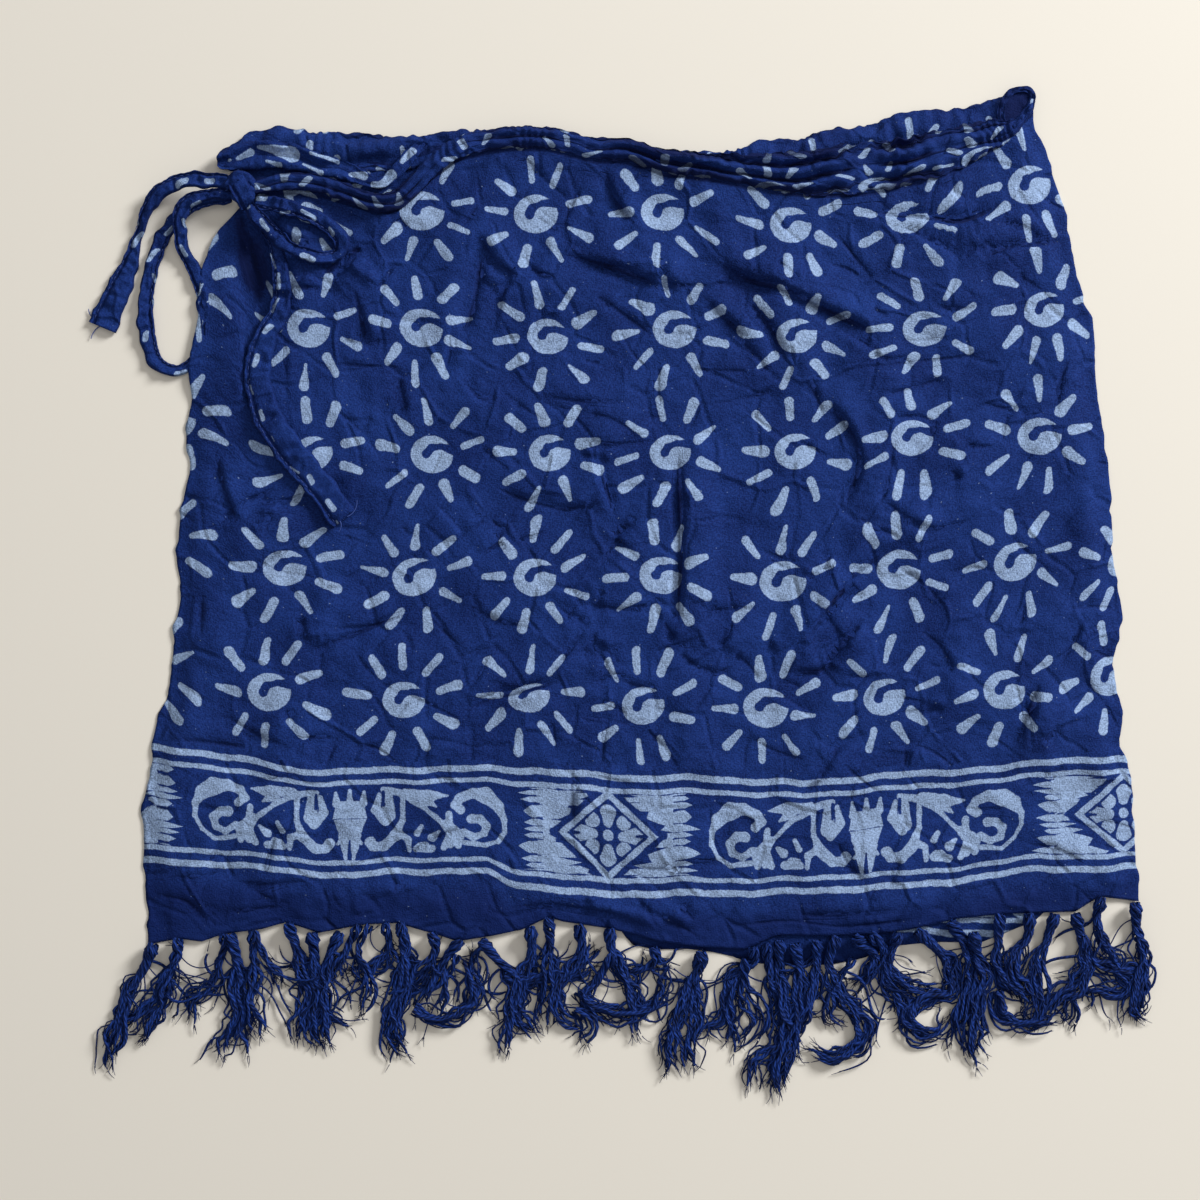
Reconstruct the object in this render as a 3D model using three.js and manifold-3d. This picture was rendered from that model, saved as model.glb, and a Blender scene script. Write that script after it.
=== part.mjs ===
// A batik wrap skirt laid flat: one length of thin rayon that goes once round the body and laps over
// itself, gathered into a narrow waist casing, tied in a bow at its upper left corner, with a hem
// fringe knotted from the cloth's own yarns. Millimetres, +X to the wearer's left, +Y to the waist,
// +Z up from the surface it lies on, origin under the middle of the whole.
import * as THREE from 'three';
import { mergeVertices } from 'three/addons/utils/BufferGeometryUtils.js';
import Module from 'manifold-3d';

// ---- driving dimensions -------------------------------------------------------------------------
const CLOTH = 1.2;            // a layer of rayon with its crumple, as a wall
const GAP = 0.3;              // clear space between neighbouring pieces
const LAYERED = 3.2;          // underside of the front layer where two layers lie beneath it
const RIM_REACH = 14;         // how far in from a side edge the front layer sinks to the surface
const HEM_LIFT = 1.8;         // underside of the front layer along the hem, over the back layer
const WAIST_LIFT = 2.0;       // how far the front layer rises onto the back casing at the waist
const SIDE_INSET = 17;        // the layers beneath stop this far inside the front layer's sides
const LOOP_LIFT = 2.6;        // how far the bow's left loop raises the side edge that it goes under
const TIE = 1.8;              // thickness of a tie: a strip folded double and stitched
const TIE_CLEAR = 0.9;        // a tie over the front layer stays this far from its facets
const GATHER_PITCH = 11;      // from one gather of the waist casing to the next
const FRINGE_PITCH = 3.0;     // from lock to lock across a tassel's root
const FRONT_COLUMNS = 42;
const FRONT_ROWS = 32;

const CLOTH_LOOK = { color: '#21397a', roughness: 0.86, metalness: 0 };
const BAND_LOOK = { color: '#1b3070', roughness: 0.86, metalness: 0 };
const UNDER_LOOK = { color: '#16285c', roughness: 0.9, metalness: 0 };
const YARN_LOOK = { color: '#172a63', roughness: 0.8, metalness: 0 };

// ---- outlines, each read along one axis ---------------------------------------------------------
// The front layer's side edges, from the waist down: y, then x of the left and the right edge.
const SIDES = [
  { y: 242, left: -204, right: 229.4 },
  { y: 223, left: -206, right: 236 },
  { y: 207, left: -208, right: 241 },
  { y: 193, left: -219, right: 243.6 },
  { y: 177, left: -224.2, right: 247 },
  { y: 165, left: -226.8, right: 249.3 },
  { y: 151, left: -227.2, right: 255 },
  { y: 138, left: -230, right: 256.3 },
  { y: 123, left: -232.2, right: 256.8 },
  { y: 107, left: -229.6, right: 258.8 },
  { y: 91, left: -234.4, right: 260.8 },
  { y: 68, left: -231.8, right: 263.6 },
  { y: 54, left: -236, right: 264.6 },
  { y: 24, left: -238.7, right: 266.3 },
  { y: 2, left: -236.6, right: 269.3 },
  { y: -14, left: -240.4, right: 271 },
  { y: -34, left: -241.3, right: 265.8 },
  { y: -53, left: -242.6, right: 269.8 },
  { y: -62, left: -249, right: 271.6 },
  { y: -78, left: -251.2, right: 270.2 },
  { y: -98, left: -253.4, right: 276.6 },
  { y: -112, left: -257.6, right: 277.2 },
  { y: -133, left: -255.5, right: 279 },
  { y: -150, left: -256.5, right: 279.8 },
  { y: -164, left: -255, right: 280.3 },
  { y: -187, left: -254.4, right: 280.6 },
];

// The front layer's hem, left to right.
const FRONT_HEM = [
  { x: -254.4, y: -187 }, { x: -237, y: -183.6 }, { x: -225, y: -185.2 }, { x: -213, y: -181 },
  { x: -192, y: -178.2 }, { x: -179, y: -174.6 }, { x: -162, y: -180.4 }, { x: -138, y: -176 },
  { x: -120, y: -175 }, { x: -96, y: -182 }, { x: -87, y: -185 }, { x: -68, y: -182 },
  { x: -52, y: -178.6 }, { x: -38, y: -172 }, { x: -30, y: -174.4 }, { x: -4, y: -178.2 },
  { x: 22, y: -185.2 }, { x: 43, y: -188 }, { x: 68, y: -189.4 }, { x: 85, y: -181.6 },
  { x: 113, y: -182 }, { x: 136, y: -181 }, { x: 157, y: -178.6 }, { x: 182, y: -172.8 },
  { x: 206, y: -170.2 }, { x: 246, y: -169 }, { x: 259, y: -160.8 }, { x: 280.6, y: -163.6 },
];

// The back layer's hem, which hangs lower than the front's from the middle to the right.
const BACK_HEM = [
  { x: -236, y: -172 }, { x: -180, y: -167 }, { x: -100, y: -168 }, { x: -40, y: -164 },
  { x: 0, y: -172 }, { x: 10, y: -187 }, { x: 22, y: -189.6 }, { x: 40, y: -189.4 },
  { x: 58, y: -192 }, { x: 70, y: -196.6 }, { x: 88, y: -198.6 }, { x: 112, y: -197.8 },
  { x: 128, y: -194.6 }, { x: 142, y: -188 }, { x: 165, y: -185.6 }, { x: 188, y: -186 },
  { x: 200, y: -181 }, { x: 216, y: -174 }, { x: 230, y: -160 }, { x: 262, y: -154 },
];

// Waist casings: the middle line left to right, half the width, and the underside's height.
const BACK_BAND = [
  { x: -207, y: 236, half: 6.5 }, { x: -196, y: 242, half: 9 }, { x: -184, y: 244, half: 9.5 },
  { x: -165, y: 241.5, half: 9.5 }, { x: -145, y: 241, half: 9.5 }, { x: -124, y: 239, half: 9 },
  { x: -102, y: 241, half: 8.5 }, { x: -86, y: 242.8, half: 8.5 }, { x: -60, y: 244, half: 8.5 },
  { x: -40, y: 244, half: 8.5 }, { x: -26, y: 240, half: 8.2 }, { x: -12, y: 237.8, half: 8.2 },
  { x: 3, y: 238.8, half: 8.2 }, { x: 20, y: 233, half: 8 }, { x: 34, y: 233.2, half: 8 },
  { x: 60, y: 232.4, half: 8 }, { x: 78, y: 237.6, half: 8.4 }, { x: 98, y: 238.8, half: 8.4 },
  { x: 116, y: 243.8, half: 8.8 }, { x: 136, y: 245.6, half: 9 }, { x: 157, y: 252.2, half: 9.4 },
  { x: 180, y: 253.8, half: 9.4 }, { x: 196, y: 257, half: 9.6 }, { x: 205, y: 257.6, half: 8.6 },
];
const INNER_BAND = [
  { x: -209.5, y: 236, half: 5.6 }, { x: -202, y: 237, half: 7 }, { x: -190, y: 238, half: 7.4 },
  { x: -176, y: 237, half: 7 }, { x: -160, y: 232.6, half: 6 }, { x: -146, y: 228.6, half: 5 },
  { x: -135, y: 224.4, half: 3.6 }, { x: -127, y: 223.4, half: 3 }, { x: -119, y: 230, half: 3.4 },
  { x: -112, y: 238, half: 3.6 }, { x: -105, y: 245, half: 3 },
];
const FRONT_BAND = [
  { x: -190.5, y: 221, half: 4, low: 7.6 }, { x: -178, y: 222.6, half: 4.4, low: 8 },
  { x: -160, y: 221.6, half: 4.6, low: 8 }, { x: -146, y: 217, half: 4.6, low: 7.8 },
  { x: -131, y: 212, half: 4.6, low: 7.2 }, { x: -120, y: 213.6, half: 4.8, low: 6 },
  { x: -110, y: 221.6, half: 4.8, low: 5.4 }, { x: -100, y: 231.5, half: 4.8, low: 6.6 },
  { x: -88, y: 240.4, half: 5, low: 6.8 }, { x: -74, y: 245, half: 5.4, low: 5.2 },
  { x: -55, y: 247.4, half: 5.6, low: 4.6 }, { x: -36, y: 246.6, half: 5.8, low: 4.6 },
  { x: -16, y: 241.4, half: 5.6, low: 4.6 }, { x: 4, y: 240.6, half: 6, low: 4.6 },
  { x: 24, y: 234.6, half: 6, low: 4.6 }, { x: 44, y: 232.4, half: 6.4, low: 4.6 },
  { x: 64, y: 230, half: 8, low: 4.6 }, { x: 84, y: 228.6, half: 10, low: 4.6 },
  { x: 105, y: 228.6, half: 12, low: 4.6 }, { x: 125, y: 230.4, half: 13, low: 4.6 },
  { x: 146, y: 232.6, half: 13, low: 4.6 }, { x: 166, y: 237.4, half: 12, low: 4.6 },
  { x: 184, y: 243, half: 10.4, low: 4.6 }, { x: 200, y: 248, half: 8, low: 4.6 },
  { x: 211, y: 252.6, half: 6.4, low: 4.6 }, { x: 217.4, y: 259.6, half: 5.6, low: 4.6 },
  { x: 215.4, y: 272.4, half: 3.4, low: 4.6 },
];

// The front layer's largest folds: each is a soft ridge from one end to the other, with a bow to
// its left as it is walked, its height and its reach to each side.
const FOLDS = [
  { x1: -178, y1: 204, x2: -170, y2: 160, bow: 3, height: 4.6, reach: 10 },
  { x1: -206, y1: 190, x2: -208, y2: 132, bow: -2, height: 2.8, reach: 10 },
  { x1: -78, y1: 206, x2: -50, y2: 168, bow: 2, height: 3.6, reach: 9 },
  { x1: -86, y1: 190, x2: -90, y2: 132, bow: -3, height: 3, reach: 10 },
  { x1: -32, y1: 192, x2: 22, y2: 176, bow: 2, height: 3.4, reach: 9 },
  { x1: 30, y1: 176, x2: 76, y2: 140, bow: 3, height: 3.6, reach: 9 },
  { x1: 60, y1: 184, x2: 140, y2: 148, bow: 2, height: 4.6, reach: 10 },
  { x1: 2, y1: 226, x2: 14, y2: 190, bow: -2, height: 3, reach: 8 },
  { x1: 164, y1: 212, x2: 214, y2: 217, bow: -3, height: 3, reach: 9 },
  { x1: 190, y1: 188, x2: 240, y2: 196, bow: 2, height: 2.8, reach: 10 },
  { x1: 84, y1: 158, x2: 100, y2: 124, bow: 2, height: 2.6, reach: 9 },
  { x1: 120, y1: 108, x2: 136, y2: 50, bow: 4, height: 3.2, reach: 10 },
  { x1: 42, y1: 80, x2: 40, y2: -18, bow: 2, height: 4.2, reach: 10 },
  { x1: -68, y1: 70, x2: -8, y2: 58, bow: -2, height: 2.6, reach: 9 },
  { x1: 20, y1: 48, x2: -10, y2: 8, bow: 3, height: 3, reach: 9 },
  { x1: 96, y1: -16, x2: 156, y2: 38, bow: 4, height: 4, reach: 11 },
  { x1: 92, y1: -34, x2: 140, y2: -6, bow: -3, height: 3, reach: 9 },
  { x1: -172, y1: -20, x2: -104, y2: 4, bow: 3, height: 3, reach: 10 },
  { x1: -86, y1: -54, x2: -28, y2: -38, bow: 2, height: 3.4, reach: 9 },
  { x1: 234, y1: -40, x2: 222, y2: -84, bow: 3, height: 3.4, reach: 10 },
  { x1: 132, y1: -66, x2: 98, y2: -112, bow: 3, height: 2.8, reach: 10 },
  { x1: 184, y1: 2, x2: 182, y2: -54, bow: -2, height: 2.6, reach: 10 },
  { x1: -212, y1: 66, x2: -202, y2: 30, bow: 2, height: 2.4, reach: 9 },
  { x1: -46, y1: -166, x2: 16, y2: -172, bow: 3, height: 3, reach: 7 },
];

// Ties, from the knot outwards: the middle line, half the width, and either the underside's height
// (low) or how far it lies over the front layer (lift).
const LEFT_TAIL = [
  { x: -211.6, y: 223.2, half: 3.6, low: 9.6 }, { x: -222, y: 223.6, half: 4, low: 9 },
  { x: -235, y: 223, half: 4, low: 7.6 }, { x: -246, y: 218, half: 3.8, low: 5.4 },
  { x: -254.4, y: 208, half: 3.4, low: 2.6 }, { x: -259, y: 196, half: 3, low: 0.6 },
  { x: -263, y: 184, half: 4, low: 0.3 }, { x: -267.4, y: 172, half: 6, low: 0.3 },
  { x: -273, y: 160, half: 7.2, low: 0.3 }, { x: -279, y: 146, half: 7.6, low: 0.3 },
];
const LEFT_LOOP = [
  { x: -210.6, y: 216, half: 3, low: 8 }, { x: -222, y: 215.4, half: 3.6, low: 7.6 },
  { x: -231.6, y: 211.6, half: 3.8, low: 6.8 }, { x: -236.4, y: 202, half: 3.8, low: 4.8 },
  { x: -235, y: 190, half: 3.8, low: 2 }, { x: -230.6, y: 179, half: 3.6, low: 0.5 },
  { x: -226, y: 167, half: 3.4, low: 0.3 }, { x: -222.4, y: 153, half: 3.4, low: 0.3 },
  { x: -222.8, y: 139, half: 3.4, low: 0.3 }, { x: -229, y: 127.4, half: 3.4, low: 0.3 },
  { x: -240.6, y: 122.6, half: 3.6, low: 0.3 }, { x: -250, y: 128.6, half: 4, low: 0.3 },
  { x: -254.2, y: 141, half: 4.4, low: 0.3 }, { x: -255.4, y: 156, half: 4.4, low: 0.3 },
  { x: -254.2, y: 170, half: 4, low: 0.3 }, { x: -250.4, y: 184, half: 4, low: 0.3 },
  { x: -244.6, y: 196, half: 3.8, low: 0.7 }, { x: -236, y: 206.6, half: 3.6, low: 2.2 },
  { x: -225, y: 212.4, half: 3.4, low: 4.4 }, { x: -211.4, y: 214.6, half: 3, low: 5.4 },
];
const RIGHT_LOOP = [
  { x: -191.6, y: 211.4, half: 3.4, lift: 4.6 }, { x: -182, y: 209.4, half: 4, lift: 3.6 },
  { x: -169, y: 206, half: 4.2, lift: 2 }, { x: -157.4, y: 201, half: 4.2, lift: 1 },
  { x: -149.6, y: 193.4, half: 4.2, lift: 0.8 }, { x: -151, y: 184.6, half: 4, lift: 0.8 },
  { x: -160, y: 181.4, half: 3.6, lift: 0.8 }, { x: -171, y: 184.6, half: 3.8, lift: 1.4 },
  { x: -181, y: 191.6, half: 4, lift: 3.6 }, { x: -190, y: 200.4, half: 3.8, lift: 4.4 },
  { x: -197, y: 207.4, half: 3, lift: 4.2 },
];
const RIGHT_TAIL = [
  { x: -190, y: 199.8, half: 3.4, lift: 0.9 }, { x: -184.4, y: 190, half: 4.2, lift: 0.8 },
  { x: -181.4, y: 177, half: 4.6, lift: 0.8 }, { x: -180.4, y: 164, half: 5, lift: 0.8 },
  { x: -183.4, y: 152.4, half: 5.4, lift: 0.8 }, { x: -189.4, y: 142, half: 6, lift: 0.8 },
  { x: -193.4, y: 130, half: 7, lift: 0.8 }, { x: -194, y: 117, half: 7.6, lift: 0.8 },
  { x: -191.4, y: 104, half: 8, lift: 0.8 }, { x: -185.6, y: 91, half: 8, lift: 0.8 },
  { x: -176.6, y: 78.4, half: 8, lift: 0.8 }, { x: -166.4, y: 66.6, half: 7.8, lift: 0.8 },
  { x: -157, y: 54.6, half: 7.6, lift: 0.8 }, { x: -147.4, y: 42.6, half: 8, lift: 0.8 },
];

// Tassels: where each leaves the hem and where its tip lies.
const FRONT_TASSELS = [
  { x: -249, tipX: -276, tipY: -256 }, { x: -236, tipX: -256, tipY: -236 },
  { x: -209, tipX: -224, tipY: -250 }, { x: -197, tipX: -204, tipY: -249 },
  { x: -178, tipX: -182, tipY: -240 }, { x: -164, tipX: -169, tipY: -243 },
  { x: -148, tipX: -156, tipY: -246 }, { x: -135, tipX: -139, tipY: -228 },
  { x: -116, tipX: -119, tipY: -250 }, { x: -101, tipX: -99, tipY: -229 },
  { x: -86, tipX: -83, tipY: -232 }, { x: -70, tipX: -64, tipY: -245 },
  { x: -50, tipX: -47, tipY: -237 }, { x: -37, tipX: -33, tipY: -233 },
  { x: -22, tipX: -19, tipY: -239 }, { x: -5, tipX: 5, tipY: -238 },
  { x: 72, tipX: 62, tipY: -246 }, { x: 86, tipX: 76, tipY: -267 },
  { x: 116, tipX: 112, tipY: -249 }, { x: 133, tipX: 128, tipY: -247 },
  { x: 161, tipX: 163, tipY: -237 }, { x: 176, tipX: 179, tipY: -246 },
  { x: 206, tipX: 211, tipY: -236 }, { x: 220, tipX: 225, tipY: -233 },
  { x: 234, tipX: 239, tipY: -236 }, { x: 247, tipX: 252, tipY: -231 },
  { x: 261, tipX: 266, tipY: -219 }, { x: 276, tipX: 281, tipY: -232 },
];
const BACK_TASSELS = [
  { x: 19, tipX: 22, tipY: -226 }, { x: 44, tipX: 36, tipY: -262 },
  { x: 101, tipX: 93, tipY: -271 }, { x: 147, tipX: 145, tipY: -234 },
  { x: 191, tipX: 195, tipY: -252 },
];

// ---- shared form --------------------------------------------------------------------------------
const lerp = THREE.MathUtils.lerp;
const smooth = THREE.MathUtils.smoothstep;

// A table read as a function: one column's value, straight from row to row of another.
function column(rows, along, value) {
  const rising = rows[rows.length - 1][along] > rows[0][along];
  const sorted = rising ? rows : [...rows].reverse();
  return (at) => {
    const next = sorted.findIndex((row) => row[along] >= at);
    if (next === 0) return sorted[0][value];
    if (next === -1) return sorted[sorted.length - 1][value];
    const [a, b] = [sorted[next - 1], sorted[next]];
    const t = (at - a[along]) / (b[along] - a[along]);
    return lerp(a[value], b[value], t);
  };
}

const leftX = column(SIDES, 'y', 'left');
const rightX = column(SIDES, 'y', 'right');
const frontHemY = column(FRONT_HEM, 'x', 'y');
const bandY = column(FRONT_BAND.slice(0, -2), 'x', 'y');
const bandHalf = column(FRONT_BAND.slice(0, -2), 'x', 'half');

// The front layer hangs from its casing: a seam's gap under the band's lower edge, and at the
// right past the band's end, straight down the fold that turns to the back.
const FRONT_TOP_RIGHT = { x: 229.4, y: 242 };
const FRONT_TOP_LEFT = { x: -208, y: 207 };
const BAND_CLEAR = 3.2;       // the band's gathers swell past its mean width by less than this
function frontTopY(x) {
  if (x < FRONT_BAND[0].x) {
    return lerp(FRONT_TOP_LEFT.y, bandY(x) - bandHalf(x) - BAND_CLEAR,
      (x - FRONT_TOP_LEFT.x) / (FRONT_BAND[0].x - FRONT_TOP_LEFT.x));
  }
  return Math.min(bandY(x) - bandHalf(x) - BAND_CLEAR, FRONT_TOP_RIGHT.y);
}

// A point of the front layer's outline stretched over both ways: u across, v from waist to hem.
function frontPoint(u, v) {
  const topX = lerp(FRONT_TOP_LEFT.x, FRONT_TOP_RIGHT.x, u);
  const hemLeft = FRONT_HEM[0];
  const hemRight = FRONT_HEM[FRONT_HEM.length - 1];
  const hemX = lerp(hemLeft.x, hemRight.x, u);
  const leftY = lerp(FRONT_TOP_LEFT.y, hemLeft.y, v);
  const rightY = lerp(FRONT_TOP_RIGHT.y, hemRight.y, v);
  const x = lerp(leftX(leftY), rightX(rightY), u);
  const y = lerp(frontTopY(topX), frontHemY(hemX), v) + lerp(leftY, rightY, u)
    - lerp(lerp(FRONT_TOP_LEFT.y, FRONT_TOP_RIGHT.y, u), lerp(hemLeft.y, hemRight.y, u), v);
  return { x, y };
}

const FOLD_FALL = 0.77;       // a fold is down to a quarter of its height at its reach
function foldHeight(x, y) {
  let height = 0;
  for (const fold of FOLDS) {
    const length = Math.hypot(fold.x2 - fold.x1, fold.y2 - fold.y1);
    const dirX = (fold.x2 - fold.x1) / length;
    const dirY = (fold.y2 - fold.y1) / length;
    const along = ((x - fold.x1) * dirX + (y - fold.y1) * dirY) / length;
    const bow = fold.bow * Math.sin(Math.PI * THREE.MathUtils.clamp(along, 0, 1));
    const across = (y - fold.y1) * dirX - (x - fold.x1) * dirY - bow;
    const past = Math.max(0, -along, along - 1) * length;
    height += fold.height * Math.exp(-(across ** 2 + past ** 2) / (FOLD_FALL * fold.reach ** 2));
  }
  return height;
}

// The underside of the front layer: it lies over the layers beneath, sinks to the surface at its
// side edges, and is raised over the back casing at the waist and where a loop of the bow goes
// under its left edge.
function frontLow(x, y) {
  const fromLeft = x - leftX(y);
  const fromRight = rightX(y) - x;
  const fromHem = Math.max(0, y - frontHemY(x));
  const fromWaist = Math.max(0, frontTopY(x) - y);
  const side = Math.max(0, Math.min(fromLeft, fromRight));
  const loop = LOOP_LIFT * smooth(y, 100, 118) * (1 - smooth(y, 172, 196)) * (x < 0 ? 1 : 0);
  const rim = lerp(GAP + loop, LAYERED, smooth(side, 1, RIM_REACH));
  const hem = (HEM_LIFT - LAYERED) * (1 - smooth(fromHem, 0, 20)) * smooth(side, 0, RIM_REACH);
  const waist = WAIST_LIFT * (1 - smooth(fromWaist, 0, 24));
  const inside = smooth(side, 0, 16) * smooth(fromHem, 0, 12) * smooth(fromWaist, 0, 12);
  return Math.max(GAP, rim + hem) + waist + foldHeight(x, y) * inside;
}

// ---- solid makers -------------------------------------------------------------------------------
// A closed body from rings of corners, with a fan over the first and the last ring.
function bodyFromRings(rings) {
  const sides = rings[0].length;
  const positions = rings.flat().flatMap((p) => [p.x, p.y, p.z]);
  const index = [];
  for (let r = 0; r < rings.length - 1; r += 1) {
    for (let s = 0; s < sides; s += 1) {
      const [a, b] = [r * sides + s, r * sides + ((s + 1) % sides)];
      index.push(a, b, a + sides, b, b + sides, a + sides);
    }
  }
  const last = (rings.length - 1) * sides;
  for (let s = 1; s < sides - 1; s += 1) {
    index.push(0, s + 1, s, last, last + s, last + s + 1);
  }
  return outward(positions, index);
}

// Turns a body's faces outwards.
function outward(positions, index) {
  const corner = (i) => new THREE.Vector3().fromArray(positions, 3 * i);
  let volume = 0;
  for (let i = 0; i < index.length; i += 3) {
    volume += corner(index[i]).dot(corner(index[i + 1]).cross(corner(index[i + 2])));
  }
  if (volume < 0) {
    for (let i = 0; i < index.length; i += 3) {
      [index[i + 1], index[i + 2]] = [index[i + 2], index[i + 1]];
    }
  }
  const geometry = new THREE.BufferGeometry();
  geometry.setAttribute('position', new THREE.Float32BufferAttribute(positions, 3));
  geometry.setIndex(index);
  geometry.computeVertexNormals();
  return geometry;
}

// A wall of cloth over a grid of u and v, from its underside to its top.
function clothWall(columns, rows, place) {
  const positions = [];
  const index = [];
  const across = columns + 1;
  const layer = across * (rows + 1);
  for (const side of [0, 1]) {
    for (let r = 0; r <= rows; r += 1) {
      for (let c = 0; c <= columns; c += 1) {
        const p = place(c / columns, r / rows);
        positions.push(p.x, p.y, side ? p.low + CLOTH : p.low);
      }
    }
  }
  for (let r = 0; r < rows; r += 1) {
    for (let c = 0; c < columns; c += 1) {
      const a = r * across + c;
      const d = a + across;
      index.push(a, a + 1, d, a + 1, d + 1, d);
      index.push(layer + a, layer + d, layer + a + 1, layer + a + 1, layer + d, layer + d + 1);
    }
  }
  const rim = (a, b) => index.push(a, a + layer, b, b, a + layer, b + layer);
  for (let c = 0; c < columns; c += 1) {
    rim(c, c + 1);
    rim(rows * across + c + 1, rows * across + c);
  }
  for (let r = 0; r < rows; r += 1) {
    rim((r + 1) * across, r * across);
    rim(r * across + columns, (r + 1) * across + columns);
  }
  return outward(positions, index);
}

// A flat wall of cloth with a plain outline, from its underside up.
function flatWall(outline, low) {
  const shape = new THREE.Shape(outline.map((p) => new THREE.Vector2(p.x, p.y)));
  const geometry = new THREE.ExtrudeGeometry(shape, { depth: CLOTH, bevelEnabled: false });
  return geometry.translate(0, 0, low);
}

// Stations along a table's middle line, eased through its rows.
function stations(rows, count, values) {
  const line = new THREE.CatmullRomCurve3(rows.map((p) => new THREE.Vector3(p.x, p.y, 0)), false,
    'centripetal');
  const made = [];
  for (let i = 0; i <= count; i += 1) {
    const t = i / count;
    const point = line.getPoint(t);
    const tangent = line.getTangent(t);
    const row = Math.min(Math.floor(t * (rows.length - 1)), rows.length - 2);
    const mix = smooth(t * (rows.length - 1) - row, 0, 1);
    const station = { x: point.x, y: point.y, sideX: -tangent.y, sideY: tangent.x };
    for (const value of values) station[value] = lerp(rows[row][value], rows[row + 1][value], mix);
    made.push(station);
  }
  return made;
}

// A gathered casing: a low oval swept along its line, its width and height rippled by the gathers.
function casing(rows, { count, low, high, swell }) {
  const sides = 8;
  const values = rows[0].low === undefined ? ['half'] : ['half', 'low'];
  let travelled = 0;
  let before = null;
  const rings = stations(rows, count, values).map((at) => {
    if (before) travelled += Math.hypot(at.x - before.x, at.y - before.y);
    before = at;
    const ripple = Math.sin((travelled / GATHER_PITCH) * 2 * Math.PI);
    const half = at.half + swell * ripple;
    const floor = at.low === undefined ? low : at.low;
    const rise = (high - low) * (1 - 0.1 * ripple);
    return Array.from({ length: sides }, (_, s) => {
      const turn = (2 * Math.PI * (s + 0.5)) / sides;
      const reach = Math.cos(turn) / Math.cos(Math.PI / sides);
      const z = floor + rise * 0.5 * (1 + Math.sin(turn) / Math.cos(Math.PI / sides));
      return { x: at.x + at.sideX * half * reach, y: at.y + at.sideY * half * reach, z };
    });
  });
  return bodyFromRings(rings);
}

// A tie: a flat strip swept along its line, lying at its own height or over the front layer.
function tie(rows, count) {
  const over = rows[0].lift !== undefined;
  const rings = stations(rows, count, ['half', over ? 'lift' : 'low']).map((at) => {
    const edges = [-1, 1].map((side) => ({
      x: at.x + side * at.sideX * at.half,
      y: at.y + side * at.sideY * at.half,
    }));
    const [left, right] = edges;
    const middle = { x: at.x, y: at.y };
    const under = Math.max(...[left, middle, right].map((p) => frontLow(p.x, p.y)));
    const low = over ? under + CLOTH + TIE_CLEAR + at.lift : at.low;
    return [
      { ...left, z: low }, { ...right, z: low }, { ...right, z: low + TIE }, { ...left, z: low + TIE },
    ];
  });
  return bodyFromRings(rings);
}

// ---- fringe -------------------------------------------------------------------------------------
const wasm = await Module();
wasm.setup();

function toManifold(geometry) {
  const bare = geometry.clone();
  bare.deleteAttribute('normal');
  bare.deleteAttribute('uv');
  const merged = mergeVertices(bare, 1e-4);
  return new wasm.Manifold(new wasm.Mesh({
    numProp: 3,
    vertProperties: new Float32Array(merged.attributes.position.array),
    triVerts: new Uint32Array(merged.index.array),
  }));
}

function fromManifold(solid) {
  const mesh = solid.getMesh();
  const geometry = new THREE.BufferGeometry();
  geometry.setAttribute('position', new THREE.BufferAttribute(new Float32Array(mesh.vertProperties), 3));
  geometry.setIndex(new THREE.BufferAttribute(new Uint32Array(mesh.triVerts), 1));
  geometry.computeVertexNormals();
  return geometry;
}

// A fringe: a narrow strip parted from the hem, with three-sided locks that leave it in threes,
// spread, bend once and end just above the surface.
const STRIP_CLEAR = 0.5;
const STRIP_WIDTH = 1.6;
const STRIP_HEIGHT = 1.5;
const LOCKS_PER_TASSEL = 3;
const LOCK_RISE = 1.7;
const LOCK_TIP_RISE = 1.2;
const LOCK_BEND = 2.2;        // how far a lock sways to the side
const OUTER_SHORTER = 0.07;   // an outer lock's shortest shortfall, as a share of its length
const LOCK_HALF = 1.5;
const LOCK_TIP_HALF = 0.9;
const TIP_SPREAD = 1.6;
const LOCK_STATIONS = 5;
function fringe(tassels, hem, stripLow) {
  const hemY = column(hem, 'x', 'y');
  const strip = hem.map((point) => {
    const y = point.y - STRIP_CLEAR;
    const [x, far, top] = [point.x, y - STRIP_WIDTH, stripLow + STRIP_HEIGHT];
    return [
      { x, y, z: stripLow }, { x, y: far, z: stripLow }, { x, y: far, z: top }, { x, y, z: top },
    ];
  });
  let solid = toManifold(bodyFromRings(strip));
  tassels.forEach((tassel, number) => {
    for (let lock = 0; lock < LOCKS_PER_TASSEL; lock += 1) {
      const place = lock - (LOCKS_PER_TASSEL - 1) / 2;
      const rootX = tassel.x + place * FRINGE_PITCH;
      const rootY = hemY(rootX) - STRIP_CLEAR - STRIP_WIDTH * 0.6;
      const tipX = tassel.tipX + place * FRINGE_PITCH * TIP_SPREAD;
      const shorter = OUTER_SHORTER * Math.abs(place) * (1 + (number % 3));
      const tipY = lerp(rootY, tassel.tipY, 1 - shorter);
      const rings = [];
      for (let s = 0; s <= LOCK_STATIONS; s += 1) {
        const t = s / LOCK_STATIONS;
        const bend = LOCK_BEND * Math.sin(Math.PI * t + number) * Math.sin(Math.PI * t);
        const x = lerp(rootX, tipX, t ** 1.3) + bend;
        const y = lerp(rootY, tipY, t);
        const low = lerp(stripLow, GAP, smooth(t, 0.35, 0.75));
        const half = lerp(LOCK_HALF, LOCK_TIP_HALF, t);
        rings.push([
          { x: x - half, y, z: low }, { x: x + half, y, z: low },
          { x, y, z: low + lerp(LOCK_RISE, LOCK_TIP_RISE, t) },
        ]);
      }
      solid = solid.add(toManifold(bodyFromRings(rings)));
    }
  });
  return fromManifold(solid);
}

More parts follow.
